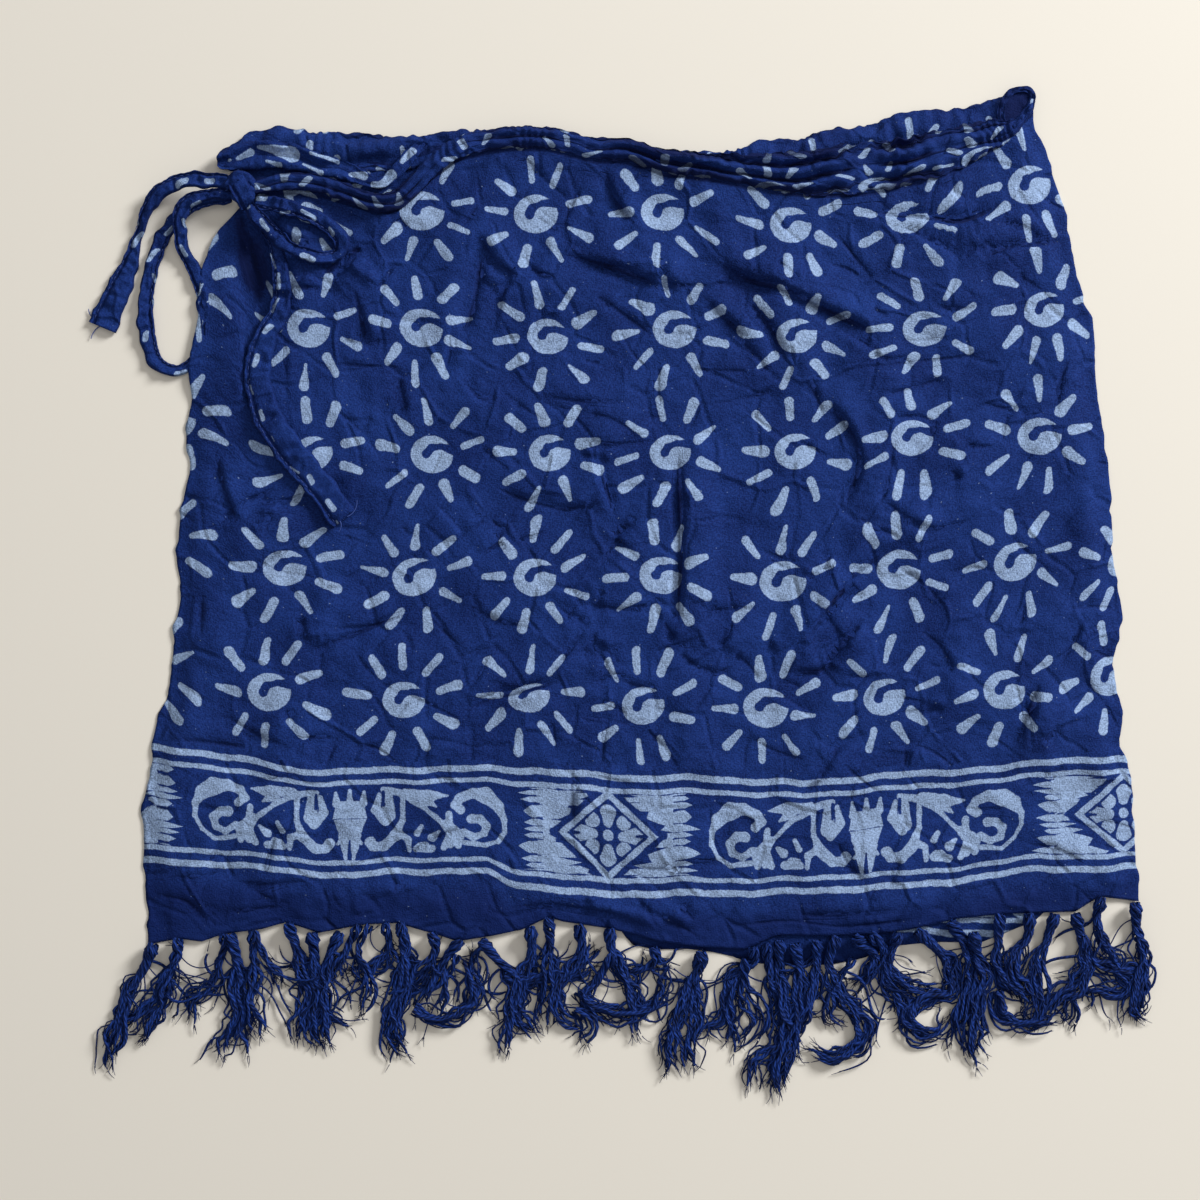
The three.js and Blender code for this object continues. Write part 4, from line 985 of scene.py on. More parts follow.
def strip_strokes(x, y):
    """What a narrow strip of the cloth shows: parts of the suns' strokes, most lying along it."""
    cell = (x / STRIP_STEP).math("ROUND")
    lane = (y / CELL_Y).math("ROUND")
    shown, shift, plump = random_of(cell, lane, 8.0)
    p = x - cell * STRIP_STEP - (shift - 0.5) * 5.0
    q = y - lane * CELL_Y - (plump - 0.5) * 9.0 - p * (shift - 0.5) * 0.9
    stroke = length((p.abs() - (shown * 4.0)).most(0.0), q) - (plump * 1.5 + 0.7)
    return stroke + (0.36 - shown).most(0.0) * UNDRAWN


# Petals that fall on the lapped-over casing, from x, y to x, y with the half-width at each end.
PETALS = [
    (13, -0.5, 22, 2.0, 0.9, 2.4), (27, 4.6, 49, 0.8, 0.7, 4.6), (33, -4.6, 42, -6.2, 0.9, 1.5),
    (57, -2.6, 70, -4.8, 0.6, 1.6), (60, 4.6, 78, 4.2, 0.8, 1.3), (88, -0.6, 97, 1.6, 1.2, 2.4),
    (104, -1.8, 117, 0.4, 1.6, 3.2), (128, 1.2, 138, 0.4, 1.4, 2.2)]


def petals(x, y):
    """Distance to the nearest petal."""
    return shortest(*[drop(x, y, *petal) for petal in PETALS])


band_cloth = cloth_material("batik_casing_rayon", "cloth", suns)
strip_cloth = cloth_material("batik_strip_rayon", "cloth", strip_strokes)
petal_cloth = cloth_material("batik_petal_rayon", "cloth", petals)


def tube_mesh(name, rings, travel, around, material, to_line=9.0, strength=0.0):
    """A closed skin over rings of points; its UVs are the way along and the way round."""
    count, corners = rings.shape[:2]
    faces = grid_faces(count, corners, closed=True, flip=True)
    ends = [rings[0].mean(0), rings[-1].mean(0)]
    points = np.concatenate([rings.reshape(-1, 3), ends])
    layers = {}
    for layer, first, second in (("cloth", travel[:, None], around), ("crease", to_line, strength)):
        shape = np.zeros((count, corners))
        uv = np.stack([shape + first, shape + second], -1).reshape(-1, 2)
        layers[layer] = np.concatenate([uv, uv[[0, -1]]])
    caps = []
    for ring, centre, order in ((0, count * corners, 1), (count - 1, count * corners + 1, -1)):
        for k in range(0, corners, 2):
            trio = [ring * corners + (k + j) % corners for j in range(3)][::order]
            caps.append([*trio, centre])
    return make_mesh(name, points, np.concatenate([faces, caps]), layers, material)


BACK_BAND = rows_of("x y half z",
    (-210, 236, 5, 2.4), (-207, 236, 6.5, 2.4), (-196, 242, 9, 2.2), (-184, 244, 9.5, 2),
    (-165, 241.5, 9.5, 2), (-145, 241, 9.5, 2), (-124, 239, 9, 2), (-102, 241, 8.5, 2),
    (-86, 242.8, 8.5, 2), (-60, 244, 8.5, 2), (-40, 244, 8.5, 2), (-26, 240, 8.2, 2),
    (-12, 237.8, 8.2, 2), (3, 238.8, 8.2, 2), (20, 233, 8, 2), (34, 233.2, 8, 2), (60, 232.4, 8, 2),
    (78, 237.6, 8.4, 2), (98, 238.8, 8.4, 2), (116, 243.8, 8.8, 2), (136, 245.6, 9, 2),
    (157, 252.2, 9.4, 2), (180, 253.8, 9.4, 2), (196, 257, 9.6, 2), (204, 259, 9.4, 2.2),
    (210, 263, 8.6, 2.2), (215.4, 268.4, 6.2, 2))
INNER_BAND = rows_of("x y half z",
    (-216, 235, 2.6, 5.2), (-213.4, 235.2, 4.9, 5.4), (-202, 237, 7, 6), (-190, 238, 7.4, 6.2),
    (-176, 237, 7, 6.2), (-160, 232.6, 6, 6.2), (-146, 228.6, 5, 6), (-135, 224.4, 3.6, 5.8),
    (-127, 223.4, 3, 5.8), (-119, 230, 3.4, 5.8), (-112, 238, 3.6, 5.6), (-105, 245, 3, 4.4))


def beside(path, offset, z):
    """Points to the left of a path by an offset, at height z: one or a ring of them a step."""
    side = sides_of(path)
    return np.stack([(path[:, 0] + side[:, 0] * offset.T).T,
                     (path[:, 1] + side[:, 1] * offset.T).T, z], -1)


TAKE_UP = 1.15       # cloth that the gathers take up, for each millimetre along a casing
BAND_STEP = 0.9      # from ring to ring of points along a casing


def band(name, node, rows, rise, pleats, gather, seed, material, cut=1.1, origin=None, groove_and_shade=1.3):
    """A casing along its line: rise is half its thickness, pleats run along it, gathers cross it,
    and cut says how much cloth lies in each millimetre of its width."""
    travel, path = eased([list(row.values()) for row in rows], BAND_STEP)
    turn = np.linspace(0, 2 * np.pi, 49)[:-1]
    across, up = np.cos(turn), np.sin(turn)
    t, f = np.meshgrid(travel, turn, indexing="ij")
    pitch = t / gather + 2.4 * value_noise(t, 0 * t, 23, seed)
    sway = 1.5 * np.sin(f) + 2.2 * value_noise(t, f * 8, 11, seed + 1)
    gathers = np.sin(2 * np.pi * pitch + sway)
    depth = np.maximum(0.3 + 0.55 * value_noise(t, 0 * t, 27, seed + 2), 0)
    wander = 2.6 * value_noise(t, 0 * t, 40, seed + 3) + 1.3 * value_noise(t, f * 5, 12, seed + 6)
    valley = np.sin(pleats * (0.35 + path[:, 2, None] / 16) * np.cos(f) * 4.2 + wander)
    ridge = np.sign(valley) * np.abs(valley) ** 0.6
    shown = np.clip(0.8 + 0.7 * value_noise(t, f * 3, 22, seed + 8), 0, 1.4)
    ragged = (1 + 0.13 * value_noise(t, f * 3, 6, seed + 4)
              + 0.09 * value_noise(t, f * 5, 2.8, seed + 10))
    half = path[:, 2, None] * ragged * (1 + 0.035 * gathers)
    lift = rise * (1 + 0.25 * value_noise(t, 0 * t, 17, seed + 5))
    bulge = np.clip(np.sign(up) * np.abs(up) ** 0.8, -1, 1)
    fine = 0.4 * value_noise(t, f * 7, 3.6, seed + 7)
    z = path[:, 3, None] + lift * bulge + np.maximum(np.sin(f), 0) * (
        depth * gathers + (0.9 + 0.15 * path[:, 2, None]) * shown * ridge + 1.3 * fine)
    offset = half * across
    rings = beside(path, offset, np.maximum(z, 0.15))
    drift = 7 * value_noise(t, 0 * t, 60, seed + 9)
    start, middle = origin or (seed * 61.0, CELL_Y * seed + 22.0 + drift)
    # The pleats' valleys and the casing's rims carry the crease line: grooves in the relief, and
    # painted shade where shadow falls in the valleys and along the rims.
    to_line = np.minimum(7.0 * (1 + valley), 0.9 * (1 - np.abs(across)) * path[:, 2, None] + 0.4)
    piece = tube_mesh(name, rings, travel * 1.2 + start, middle + offset * cut, material, to_line,
                      groove_and_shade * shown)
    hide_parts(node)
    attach(piece, "root")
    return piece, travel[-1] * TAKE_UP * MM


back_band, back_length = band("back_casing", "back_waistband", BACK_BAND, 1.9, 0.8, 9, 11,
                              band_cloth)
inner_band, inner_length = band("inner_casing", "inner_waistband", INNER_BAND, 1.2, 1, 11, 21,
                                petal_cloth, origin=(0.0, 0.0), groove_and_shade=0.7)
front_band, front_length = band("front_casing", "front_waistband", FRONT_BAND, 2.0, 1.9, 8, 31,
                                band_cloth, cut=2.3, groove_and_shade=4.0)
# The open end of the casing, rolled round on itself at the upper right.
MOUTH = rows_of("x y half z",
    (209.4, 250.4, 2.4, 5.6), (205.6, 255, 2, 6.2), (204.8, 261, 1.9, 6.6), (206.6, 267, 1.9, 7),
    (210.6, 271.6, 1.8, 7.2), (215.6, 273, 1.6, 7.4), (220, 272.4, 1.7, 7.2),
    (221.8, 268.4, 1.8, 7), (219.4, 263, 1.8, 6.8), (215.6, 257.6, 1.9, 6.6), (211, 252.4, 2, 6))
mouth, _ = band("casing_mouth", "front_waistband", MOUTH, 1.5, 0.5, 7, 61, strip_cloth)


INSIDE_LEVEL = 6.2


def build_shaded_inside():
    """What shows down the open end: the far wall of the casing, painted dark as painted shade."""
    travel, path = eased([(204.6, 253, 2.6), (208, 258.4, 5), (213, 264.6, 6.2), (217.6, 269.4, 5),
                          (219.6, 271.6, 2.4)], 1.0)
    turn = np.linspace(0, 2 * np.pi, 17)[:-1]
    offset = path[:, 2, None] * np.cos(turn)
    t, f = np.meshgrid(travel, turn, indexing="ij")
    z = INSIDE_LEVEL + 0.5 * np.sin(f) + 0.3 * value_noise(t, f * 4, 3, 71)
    rings = beside(path, offset, z)
    # No distance to the line and a high strength: the whole wall is painted in the crease shade, a
    # painted shadow inside the casing.
    piece = tube_mesh("casing_inside_shade", rings, travel, offset + 33.0, strip_cloth, 0.0, 3.2)
    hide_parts("front_waistband")
    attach(piece, "root")
    return piece


mouth_inside_shade = build_shaded_inside()


# ---- ties and bow --------------------------------------------------------------------------------
# Strips of the same cloth folded double and stitched along the open edge, crinkled by washing,
# tied in a bow: a knot, two loops and two tails, each tail with a cut and folded end.


def slivers(x, y):
    """Thin parts of strokes that show along a folded edge."""
    cell = (x / STRIP_STEP).math("ROUND")
    shown, shift, plump = random_of(cell, 3.0)
    p = x - cell * STRIP_STEP - (shift - 0.5) * 8.0
    q = y - (plump - 0.3) * 4.4 - p * (shift - 0.5) * 0.5
    stroke = length((p.abs() - (shown * 4.6 + 0.6)).most(0.0), q) - (plump * 1.5 + 0.5)
    return stroke + (0.2 - shown).most(0.0) * UNDRAWN


sliver_cloth = cloth_material("batik_sliver_rayon", "cloth", slivers)
LEFT_TAIL = rows_of("x y half z",
    (-209, 222.4, 3.4, 11), (-222, 223.6, 4, 10), (-235, 223, 4, 8.6), (-246, 218, 3.8, 6.4),
    (-254.4, 208, 3.4, 3.6), (-259, 196, 3, 1.6), (-263, 184, 4, 1.3), (-267.4, 172, 6, 1.2),
    (-273, 160, 7.2, 1.2), (-279, 146, 7.6, 1.2))
LEFT_LOOP = rows_of("x y half z",
    (-208, 216, 3, 9.4), (-222, 215.4, 3.6, 8.8), (-231.6, 211.6, 3.8, 8), (-236.4, 202, 3.8, 6),
    (-235, 190, 3.8, 3.2), (-230.6, 179, 3.6, 1.6), (-226, 167, 3.4, 1.2), (-222.4, 153, 3.4, 1.2),
    (-222.8, 139, 3.4, 1.2), (-229, 127.4, 3.4, 1.2), (-240.6, 122.6, 3.6, 1.2),
    (-250, 128.6, 4, 1.2), (-254.2, 141, 4.4, 1.2), (-255.4, 156, 4.4, 1.2), (-254.2, 170, 4, 1.2),
    (-250.4, 184, 4, 1.2), (-244.6, 196, 3.8, 1.8), (-236, 206.6, 3.6, 3.4),
    (-225, 212.4, 3.4, 5.4), (-208, 214.6, 3, 6.6))
RIGHT_LOOP = rows_of("x y half z",
    (-194, 212, 3.4, 5.6), (-182, 209.4, 4, 4.6), (-169, 206, 4.2, 3.2), (-157.4, 201, 4.2, 2.2),
    (-149.6, 193.4, 4.2, 2), (-151, 184.6, 4, 2), (-160, 181.4, 3.6, 2), (-171, 184.6, 3.8, 2.8),
    (-181, 191.6, 4, 4.6), (-190, 200.4, 3.8, 5.4), (-198, 209, 3, 5.2))
RIGHT_TAIL = rows_of("x y half z",
    (-190, 199.8, 3.4, 2), (-184.4, 190, 4.2, 2), (-181.4, 177, 4.6, 2), (-180.4, 164, 5, 2),
    (-183.4, 152.4, 5.4, 2), (-189.4, 142, 6, 2), (-193.4, 130, 7, 2), (-194, 117, 7.6, 2),
    (-191.4, 104, 8, 2), (-185.6, 91, 8, 2), (-176.6, 78.4, 8, 2), (-166.4, 66.6, 7.8, 2),
    (-157, 54.6, 7.6, 2), (-147.4, 42.6, 8, 2))


def under_strap(x, y):
    """The highest of the cloth just about each place along a strap."""
    height = front_relief(x, y)[0]
    padded = np.pad(height, 5, mode="edge")
    return np.max([padded[step:step + len(height)] for step in range(11)], axis=0)


# Across a strap, from its stitched edge to its fold and back beneath: shares of its half-width and
# of its fullness.
PROFILE = np.array([(-1, 0), (-0.99, 0.45), (-0.92, 0.8), (-0.82, 0.72), (-0.7, 0.3),
                    (-0.58, 0.36), (-0.44, 0.75), (-0.2, 0.9), (0.1, 0.78), (0.35, 0.95),
                    (0.6, 0.85), (0.84, 0.9), (0.97, 0.5), (1, 0), (0.95, -0.5), (0.8, -0.7),
                    (0, -0.7), (-0.8, -0.6)])
SEAM = 0.7           # the stitching's place between the strap's middle and its open edge
PUCKER = 3.2         # from one pucker along the seam to the next
STRAP_STEP = 0.8     # from ring to ring of points along a strap
STRAP_REST = 0.3     # a strap that lies on the cloth starts this far above it


def strap(name, node, rows, over_cloth, seed, lane=0.0, motif_cloth=None, groove_and_shade=1.15):
    """A doubled strip: full along its fold, grooved where it is stitched, puckered all the way."""
    travel, path = eased([list(row.values()) for row in rows], STRAP_STEP)
    if over_cloth:
        path[:, 3] += under_strap(path[:, 0], path[:, 1]) + STRAP_REST
    t, across = np.meshgrid(travel, PROFILE[:, 0], indexing="ij")
    up = np.broadcast_to(PROFILE[:, 1], t.shape)
    stitched = np.exp(-((across + SEAM) / 0.32) ** 2)
    uneven = 0.8 * value_noise(travel, 0 * travel, 11, seed + 5)
    pucker = np.sin(2 * np.pi * (travel / PUCKER + uneven))[:, None]
    crinkle = (value_noise(t, across * 5, 4.6, seed)
               + 0.7 * value_noise(t, across * 4, 2.4, seed + 1) + 0.2 * pucker * stitched)
    ragged = 1 + (0.8 * value_noise(t, 2 * across, 5.2, seed + 2) + 0.06 * pucker * (across < 0)
                  + 0.25 * value_noise(t, 2 * across, 2.6, seed + 6)) / path[:, 2, None]
    offset = path[:, 2, None] * across * ragged + 0.8 * value_noise(t, 0 * t, 7, seed + 3)
    curl = 0.6 * value_noise(t, across * 4, 13, seed + 4)
    full = 1.15 + 1.9 / path[:, 2, None]
    z = path[:, 3, None] + full * up + np.maximum(up, 0.2) * (1.35 * crinkle + 0.6) + curl
    rings = beside(path, offset, np.maximum(z, 0.2))
    drift = 3 * value_noise(t, 0 * t, 45, seed + 8)
    around = (across - lane) * path[:, 2, None] * 1.1
    around = around + (0 if motif_cloth else CELL_Y * seed + drift)
    # Its rims and the stitched groove carry the crease line: sunk in the relief and painted darker,
    # a painted shade along the edges and the seam.
    rim = (1 - np.abs(across)) * path[:, 2, None] + 0.3
    to_line = np.minimum(rim, np.abs(across + 0.66) * path[:, 2, None])
    piece = tube_mesh(name, rings, travel * 1.15 + seed * 47.0, around, motif_cloth or strip_cloth,
                      to_line, groove_and_shade * (1 + 0.12 * pucker * stitched))
    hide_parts(node)
    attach(piece, "root")
    groove = np.maximum(path[:, 3] + 0.35 * full[:, 0] + 0.55, 0.8)
    return travel, beside(path, -0.68 * path[:, 2], groove)


seams = [strap("left_tail", "tie_left_tail", LEFT_TAIL, False, 41),
         strap("left_loop", "tie_left_loop", LEFT_LOOP, False, 44),
         strap("right_loop", "tie_right_loop", RIGHT_LOOP, True, 47),
         strap("right_tail", "tie_right_tail", RIGHT_TAIL, True, 52, -0.42, sliver_cloth, 0.9)]


KNOT = (-201.6, 217.8, 9.4)
KNOT_HALF = (7.6, 8.2, 5.0)


def build_knot():
    """The knot: a tight bundle of the strips, wrapped once over from top to bottom."""
    lat, lon = np.meshgrid(np.linspace(0, np.pi, 41), np.linspace(0, 2 * np.pi, 65)[:-1],
                           indexing="ij")
    nx, ny, nz = np.sin(lat) * np.cos(lon), np.sin(lat) * np.sin(lon), np.cos(lat)
    wrap = np.exp(-((nx + 0.25 * ny) / 0.42) ** 2)
    grooves = np.sin(9 * (nx + 0.25 * ny)) * wrap + np.sin(8 * ny + 2 * nx) * (1 - wrap)
    radius = (0.93 + 0.14 * wrap + 0.045 * grooves
              + 0.05 * value_noise(nx * 9, ny * 9 + nz * 7, 4, 61))
    rings = np.stack([middle + half * radius * out
                      for middle, half, out in zip(KNOT, KNOT_HALF, (nx, ny, nz))], -1)[1:-1]
    travel = np.linspace(0, 24, rings.shape[0])
    around = np.broadcast_to(lon[0] * 6.0 + 400.0, rings.shape[:2])
    piece = tube_mesh("knot", rings, travel, around, strip_cloth)
    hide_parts("tie_knot")
    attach(piece, "root")


build_knot()
KNOT_WRAP = rows_of("x y half z",
    (-207.4, 226.6, 4.6, 8.6), (-204.8, 223.2, 5.2, 12.6), (-201.6, 218.4, 5.6, 14.6),
    (-199.2, 213.2, 5.2, 13), (-197.8, 208.8, 4.6, 8.6))
KNOT_UNDER = rows_of("x y half z",
    (-210.4, 219, 3.4, 9.4), (-207, 221.6, 4, 12), (-203.4, 224.2, 4, 12.4), (-198, 222, 3.8, 11),
    (-194, 216.4, 3.4, 8.6))
strap("knot_wrap", "tie_knot", KNOT_WRAP, False, 55, 3.0)
strap("knot_under", "tie_knot", KNOT_UNDER, False, 58)


# ---- stitching and loose threads -----------------------------------------------------------------
# Run by machine in blue polyester along the ties' open edges, with a few threads left hanging from
# the cut ends. A stitch is drawn a little thick so that it shows.
STITCH, STITCH_GAP, THREAD = 2.0, 1.3, 0.2


def thread_material(name, hex_colour):
    """Spun thread: matt, with its ply showing as a faint change of tone."""
    material = bpy.data.materials.new(name)
    material.use_nodes = True
    tree = material.node_tree
    surface = tree.nodes["Principled BSDF"]
    x, y = cloth_place(tree, "cloth")
    tone = (x * 5.0 + y * 6.283).math("SINE") * 0.12 + 0.88
    colour = add_node(tree, "ShaderNodeMix",
                      {0: 1.0, 6: linear(hex_colour), 7: (tone, tone, tone)},
                      data_type="RGBA", blend_type="MULTIPLY")
    tree.links.new(colour.outputs[2], surface.inputs["Base Color"])
    surface.inputs["Roughness"].default_value = 0.7
    return material


def yarn_rings(path, radius, corners):
    """Rings of points round a line in space."""
    forward = np.gradient(path, axis=0)
    forward /= np.maximum(np.linalg.norm(forward, axis=1), 1e-6)[:, None]
    side = np.stack([-forward[:, 1], forward[:, 0], 0 * forward[:, 0]], -1)
    side /= np.maximum(np.linalg.norm(side, axis=1), 1e-6)[:, None]
    up = np.cross(forward, side)
    turn = 2 * np.pi * np.arange(corners) / corners
    return (path[:, None] + radius[:, None, None]
            * (side[:, None] * np.cos(turn)[:, None] + up[:, None] * np.sin(turn)[:, None]))


class Strands:
    """Collects many threads or yarns into one mesh."""

    def __init__(self):
        self.points, self.faces, self.uvs, self.count = [], [], [], 0

    def add(self, path, radius, corners, along, seed):
        rings = yarn_rings(path, radius, corners)
        self.points.append(rings.reshape(-1, 3))
        self.faces.append(grid_faces(len(path), corners, self.count, closed=True, flip=True))
        around = np.broadcast_to(np.arange(corners) / corners, (len(path), corners))
        length_way = np.broadcast_to(along[:len(path), None] + 31.0 * seed, (len(path), corners))
        self.uvs.append(np.stack([length_way, around + seed * 3.0], -1).reshape(-1, 2))
        self.count += len(path) * corners

    def mesh(self, name, node, slot, material):
        piece = make_mesh(name, np.concatenate(self.points), np.concatenate(self.faces),
                          {"cloth": np.concatenate(self.uvs)}, material)
        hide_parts(node)
        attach(piece, "root")
        return piece


def headed(start, angle, step):
    """The way of a thread from its start, with its own heading at each step."""
    return (start[0] + np.cumsum(np.cos(angle) * step), start[1] + np.cumsum(np.sin(angle) * step))


def build_stitching():
    """Separate stitches, each with its ends sunk in the cloth."""
    names = ("left_tail", "left_loop", "right_loop", "right_tail")
    colour = thread_material("stitching_thread", "263f86")
    for name, (travel, seam) in zip(names, seams):
        stitches = Strands()
        for number, start in enumerate(np.arange(1.0, travel[-1] - STITCH, STITCH + STITCH_GAP)):
            at = np.linspace(start, start + STITCH, 5)
            path = np.stack([np.interp(at, travel, seam[:, k]) for k in range(3)], -1)
            path[:, 2] += THREAD * np.array([-0.9, 0.5, 0.8, 0.5, -0.9])
            stitches.add(path, THREAD * np.array([0.6, 1, 1, 1, 0.6]), 5, at, number)
        stitches.mesh(name + "_stitching", "tie_" + name, "tie_cloth", colour)


def build_loose_threads():
    """Threads left at the cut ends of the two tails."""
    loose = {"left_tail": [((-279, 147, 1.6), 205, 9, 0.10), ((-281, 150, 1.4), 168, 8, -0.16)],
             "right_tail": [((-146.6, 43.4, 7.2), 20, 11, 0.12), ((-150, 41.6, 7), 300, 6, -0.2)]}
    colour = thread_material("loose_thread", "2b4690")
    for name, threads in loose.items():
        strands = Strands()
        for number, (start, heading, reach, bend) in enumerate(threads):
            at = np.linspace(0, reach, 14)
            x, y = headed(start, np.radians(heading) + bend * at, np.gradient(at))
            path = np.stack([x, y, np.maximum(start[2] - 0.05 * at, 0.4)], -1)
            strands.add(path, np.linspace(0.34, 0.22, 14), 5, at, number)
        strands.mesh(name + "_threads", "tie_" + name, "tie_cloth", colour)


build_stitching()
build_loose_threads()


# ---- fringe --------------------------------------------------------------------------------------
# Bundles of the cloth's own warp yarns, plied, knotted at the hem and tangled by wear. They hang
# free below the hem and lie over one another.


def yarn_material():
    """Plied rayon yarn, dyed through and matt, with painted light and shade along its twist."""
    material = bpy.data.materials.new("plied_yarn")
    material.use_nodes = True
    tree = material.node_tree
    tree.nodes.clear()
    x, y = cloth_place(tree, "cloth")
    ply_ridge_shade = (x * 2.0 + y * 25.13).math("SINE") * 0.5 + 0.5
    fibre = unevenness(tree, fibre=((x * 0.12, y * 9.0), 1.0, 2.0, 0.5))["fibre"]
    mix = ply_ridge_shade * 0.35 + fibre.ramp(0.36, 0.64) * 0.65
    # Its two colours are a painted shade and a painted light of the same navy; the ply's stripes
    # and the random fibre tone pick between them.
    colour = add_node(tree, "ShaderNodeMix",
                      {0: mix, 6: linear("01030f"), 7: linear("1a3a8a")}, data_type="RGBA")
    rayon_surface(tree, colour.outputs[2], ply_ridge_shade + fibre, 0.4 * MM, 0.7, 0.03, 0.12)
    return material


yarn = yarn_material()
# A bundle's number of yarns, how far it spreads at its tip, and the points that it runs through.
BUNDLES = [
    (9, 5, (-250, -186), (-256, -200), (-264, -212), (-268, -226), (-276, -242), (-278, -256)),
    (7, 5, (-237, -183), (-238, -193), (-244, -205), (-250, -217), (-262, -228), (-274, -238)),
    (5, 4, (-238, -190), (-243, -208), (-247, -222), (-256, -235), (-266, -238)),
    (5, 4, (-213, -181), (-213, -190), (-222, -207), (-231, -217), (-232, -227), (-236, -233)),
    (8, 5, (-209, -181), (-206, -195), (-208, -210), (-206, -228), (-216, -244), (-219, -253)),
    (7, 4, (-208, -185), (-203, -205), (-203, -222), (-203, -238), (-201, -248)),
    (6, 3, (-197, -179), (-197, -195), (-197, -215), (-195, -233), (-193, -242)),
    (3, 3, (-196, -180), (-190, -195), (-184, -203), (-185, -213)),
    (8, 5, (-178, -175), (-173, -190), (-172, -205), (-171, -222), (-174, -239)),
    (8, 5, (-165, -180), (-164, -195), (-163, -212), (-166, -228), (-163, -242)),
    (8, 4, (-150, -180), (-156, -192), (-160, -205), (-158, -222), (-160, -235), (-158, -245)),
    (2, 3, (-160, -224), (-150, -230), (-145, -228)),
    (5, 4, (-140, -176), (-147, -190), (-152, -200), (-150, -210)),
    (4, 3, (-134, -176), (-140, -188), (-136, -205), (-137, -218), (-140, -228)),
    (5, 5, (-126, -175), (-124, -188), (-130, -198), (-146, -205)),
    (8, 4, (-118, -175), (-114, -190), (-116, -205), (-122, -220), (-124, -236), (-122, -245)),
    (6, 3, (-116, -180), (-116, -205), (-120, -225), (-118, -240), (-115, -250)),
    (7, 5, (-101, -180), (-99, -190), (-108, -205), (-115, -212), (-126, -215)),
    (7, 4, (-85, -184), (-92, -192), (-100, -205), (-108, -213), (-113, -221)),
    (6, 3, (-110, -220), (-97, -226), (-85, -225), (-78, -216), (-76, -204), (-84, -190)),
    (3, 3, (-87, -192), (-96, -213), (-98, -228)),
    (8, 5, (-74, -184), (-68, -192), (-62, -200), (-58, -212), (-60, -225), (-64, -238),
     (-62, -246)),
    (4, 3, (-72, -184), (-80, -198), (-78, -212), (-80, -228)),
    (8, 5, (-48, -177), (-47, -190), (-50, -203), (-56, -215), (-55, -228), (-42, -236)),
    (8, 4, (-38, -172), (-37, -185), (-38, -200), (-40, -215), (-40, -232)),
    (6, 4, (-62, -205), (-48, -207), (-30, -205), (-18, -198), (-10, -188)),
    (8, 4, (-22, -176), (-20, -188), (-24, -200), (-32, -210), (-30, -222), (-18, -229)),
    (8, 4, (-5, -178), (-4, -190), (2, -200), (8, -212), (7, -228), (9, -238)),
    (6, 3, (-3, -192), (-12, -205), (-20, -214), (-8, -222), (5, -223), (18, -221), (25, -211),
     (23, -200), (14, -191)),
    (4, 4, (-24, -222), (-18, -231), (-24, -240)), (4, 4, (-22, -212), (-14, -225), (-7, -233)),
    (5, 3, (18, -188), (20, -194), (14, -200), (4, -204)),
    (3, 3, (20, -189), (22, -195), (28, -198)),
    (9, 5, (44, -190), (44, -197), (40, -208), (35, -222), (30, -235), (28, -245), (31, -258)),
    (6, 4, (43, -192), (40, -215), (42, -228), (38, -240), (42, -256)),
    (8, 4, (72, -188), (72, -196), (62, -203), (58, -215), (60, -228), (62, -238), (58, -244)),
    (5, 3, (68, -194), (68, -212), (74, -225), (71, -235), (62, -243)),
    (4, 4, (62, -206), (56, -225), (46, -232), (44, -240)),
    (9, 5, (86, -184), (86, -195), (84, -210), (88, -225), (92, -235), (96, -250)),
    (8, 4, (79, -186), (82, -205), (90, -220), (86, -240), (73, -248), (72, -267)),
    (9, 4, (94, -186), (98, -205), (94, -225), (86, -245), (84, -260), (83, -270)),
    (5, 3, (90, -236), (90, -252), (88, -266)),
    (7, 4, (106, -184), (106, -205), (100, -222), (92, -238)),
    (9, 3, (117, -182), (113, -195), (116, -207), (124, -220), (132, -228), (130, -242),
     (115, -248), (100, -243)),
    (8, 3, (126, -182), (137, -192), (133, -203), (124, -212)),
    (4, 2, (126, -194), (118, -205), (112, -215), (113, -226), (123, -230)),
    (7, 5, (135, -181), (143, -190), (140, -205), (150, -215), (147, -225)),
    (8, 4, (150, -180), (146, -192), (147, -202), (158, -210), (172, -214)),
    (3, 3, (152, -212), (154, -225), (152, -235)),
    (9, 3, (160, -179), (170, -188), (180, -198), (178, -212), (162, -217), (155, -226),
     (163, -236), (173, -233), (176, -222)),
    (9, 4, (178, -174), (187, -188), (190, -202), (186, -218), (182, -232), (184, -246)),
    (9, 5, (190, -180), (196, -205), (194, -220), (190, -235), (198, -252)),
    (8, 3, (205, -170), (204, -185), (205, -198), (212, -210), (222, -216)),
    (8, 3, (220, -170), (220, -182), (213, -192), (213, -203), (220, -212), (228, -222)),
    (8, 4, (203, -212), (206, -225), (218, -228), (230, -226), (240, -219)),
    (8, 5, (234, -170), (231, -182), (226, -195), (225, -208), (224, -222), (219, -238)),
    (8, 5, (245, -170), (249, -183), (252, -198), (246, -210), (235, -218), (232, -232)),
    (3, 3, (240, -214), (246, -225), (245, -233)),
    (7, 4, (259, -161), (257, -174), (262, -186), (270, -195), (272, -205)),
    (7, 4, (249, -182), (254, -195), (265, -201), (277, -200), (282, -209), (279, -222)),
    (5, 4, (275, -203), (269, -212), (255, -212), (252, -222)),
    (8, 4, (277, -164), (279, -178), (282, -192), (283, -205), (279, -218), (278, -227),
     (283, -231)),
    (4, 4, (266, -198), (276, -210), (275, -222), (281, -229))]
HANGING = -196.0     # a bundle that starts below this is a loose one, with no knot at the hem
ROOT = 18.0          # a bundle is knotted and twisted into a rope over this much of its way
STEP = 2.0           # between the points of a bundle's yarns
WANDER_STEP = 1.7
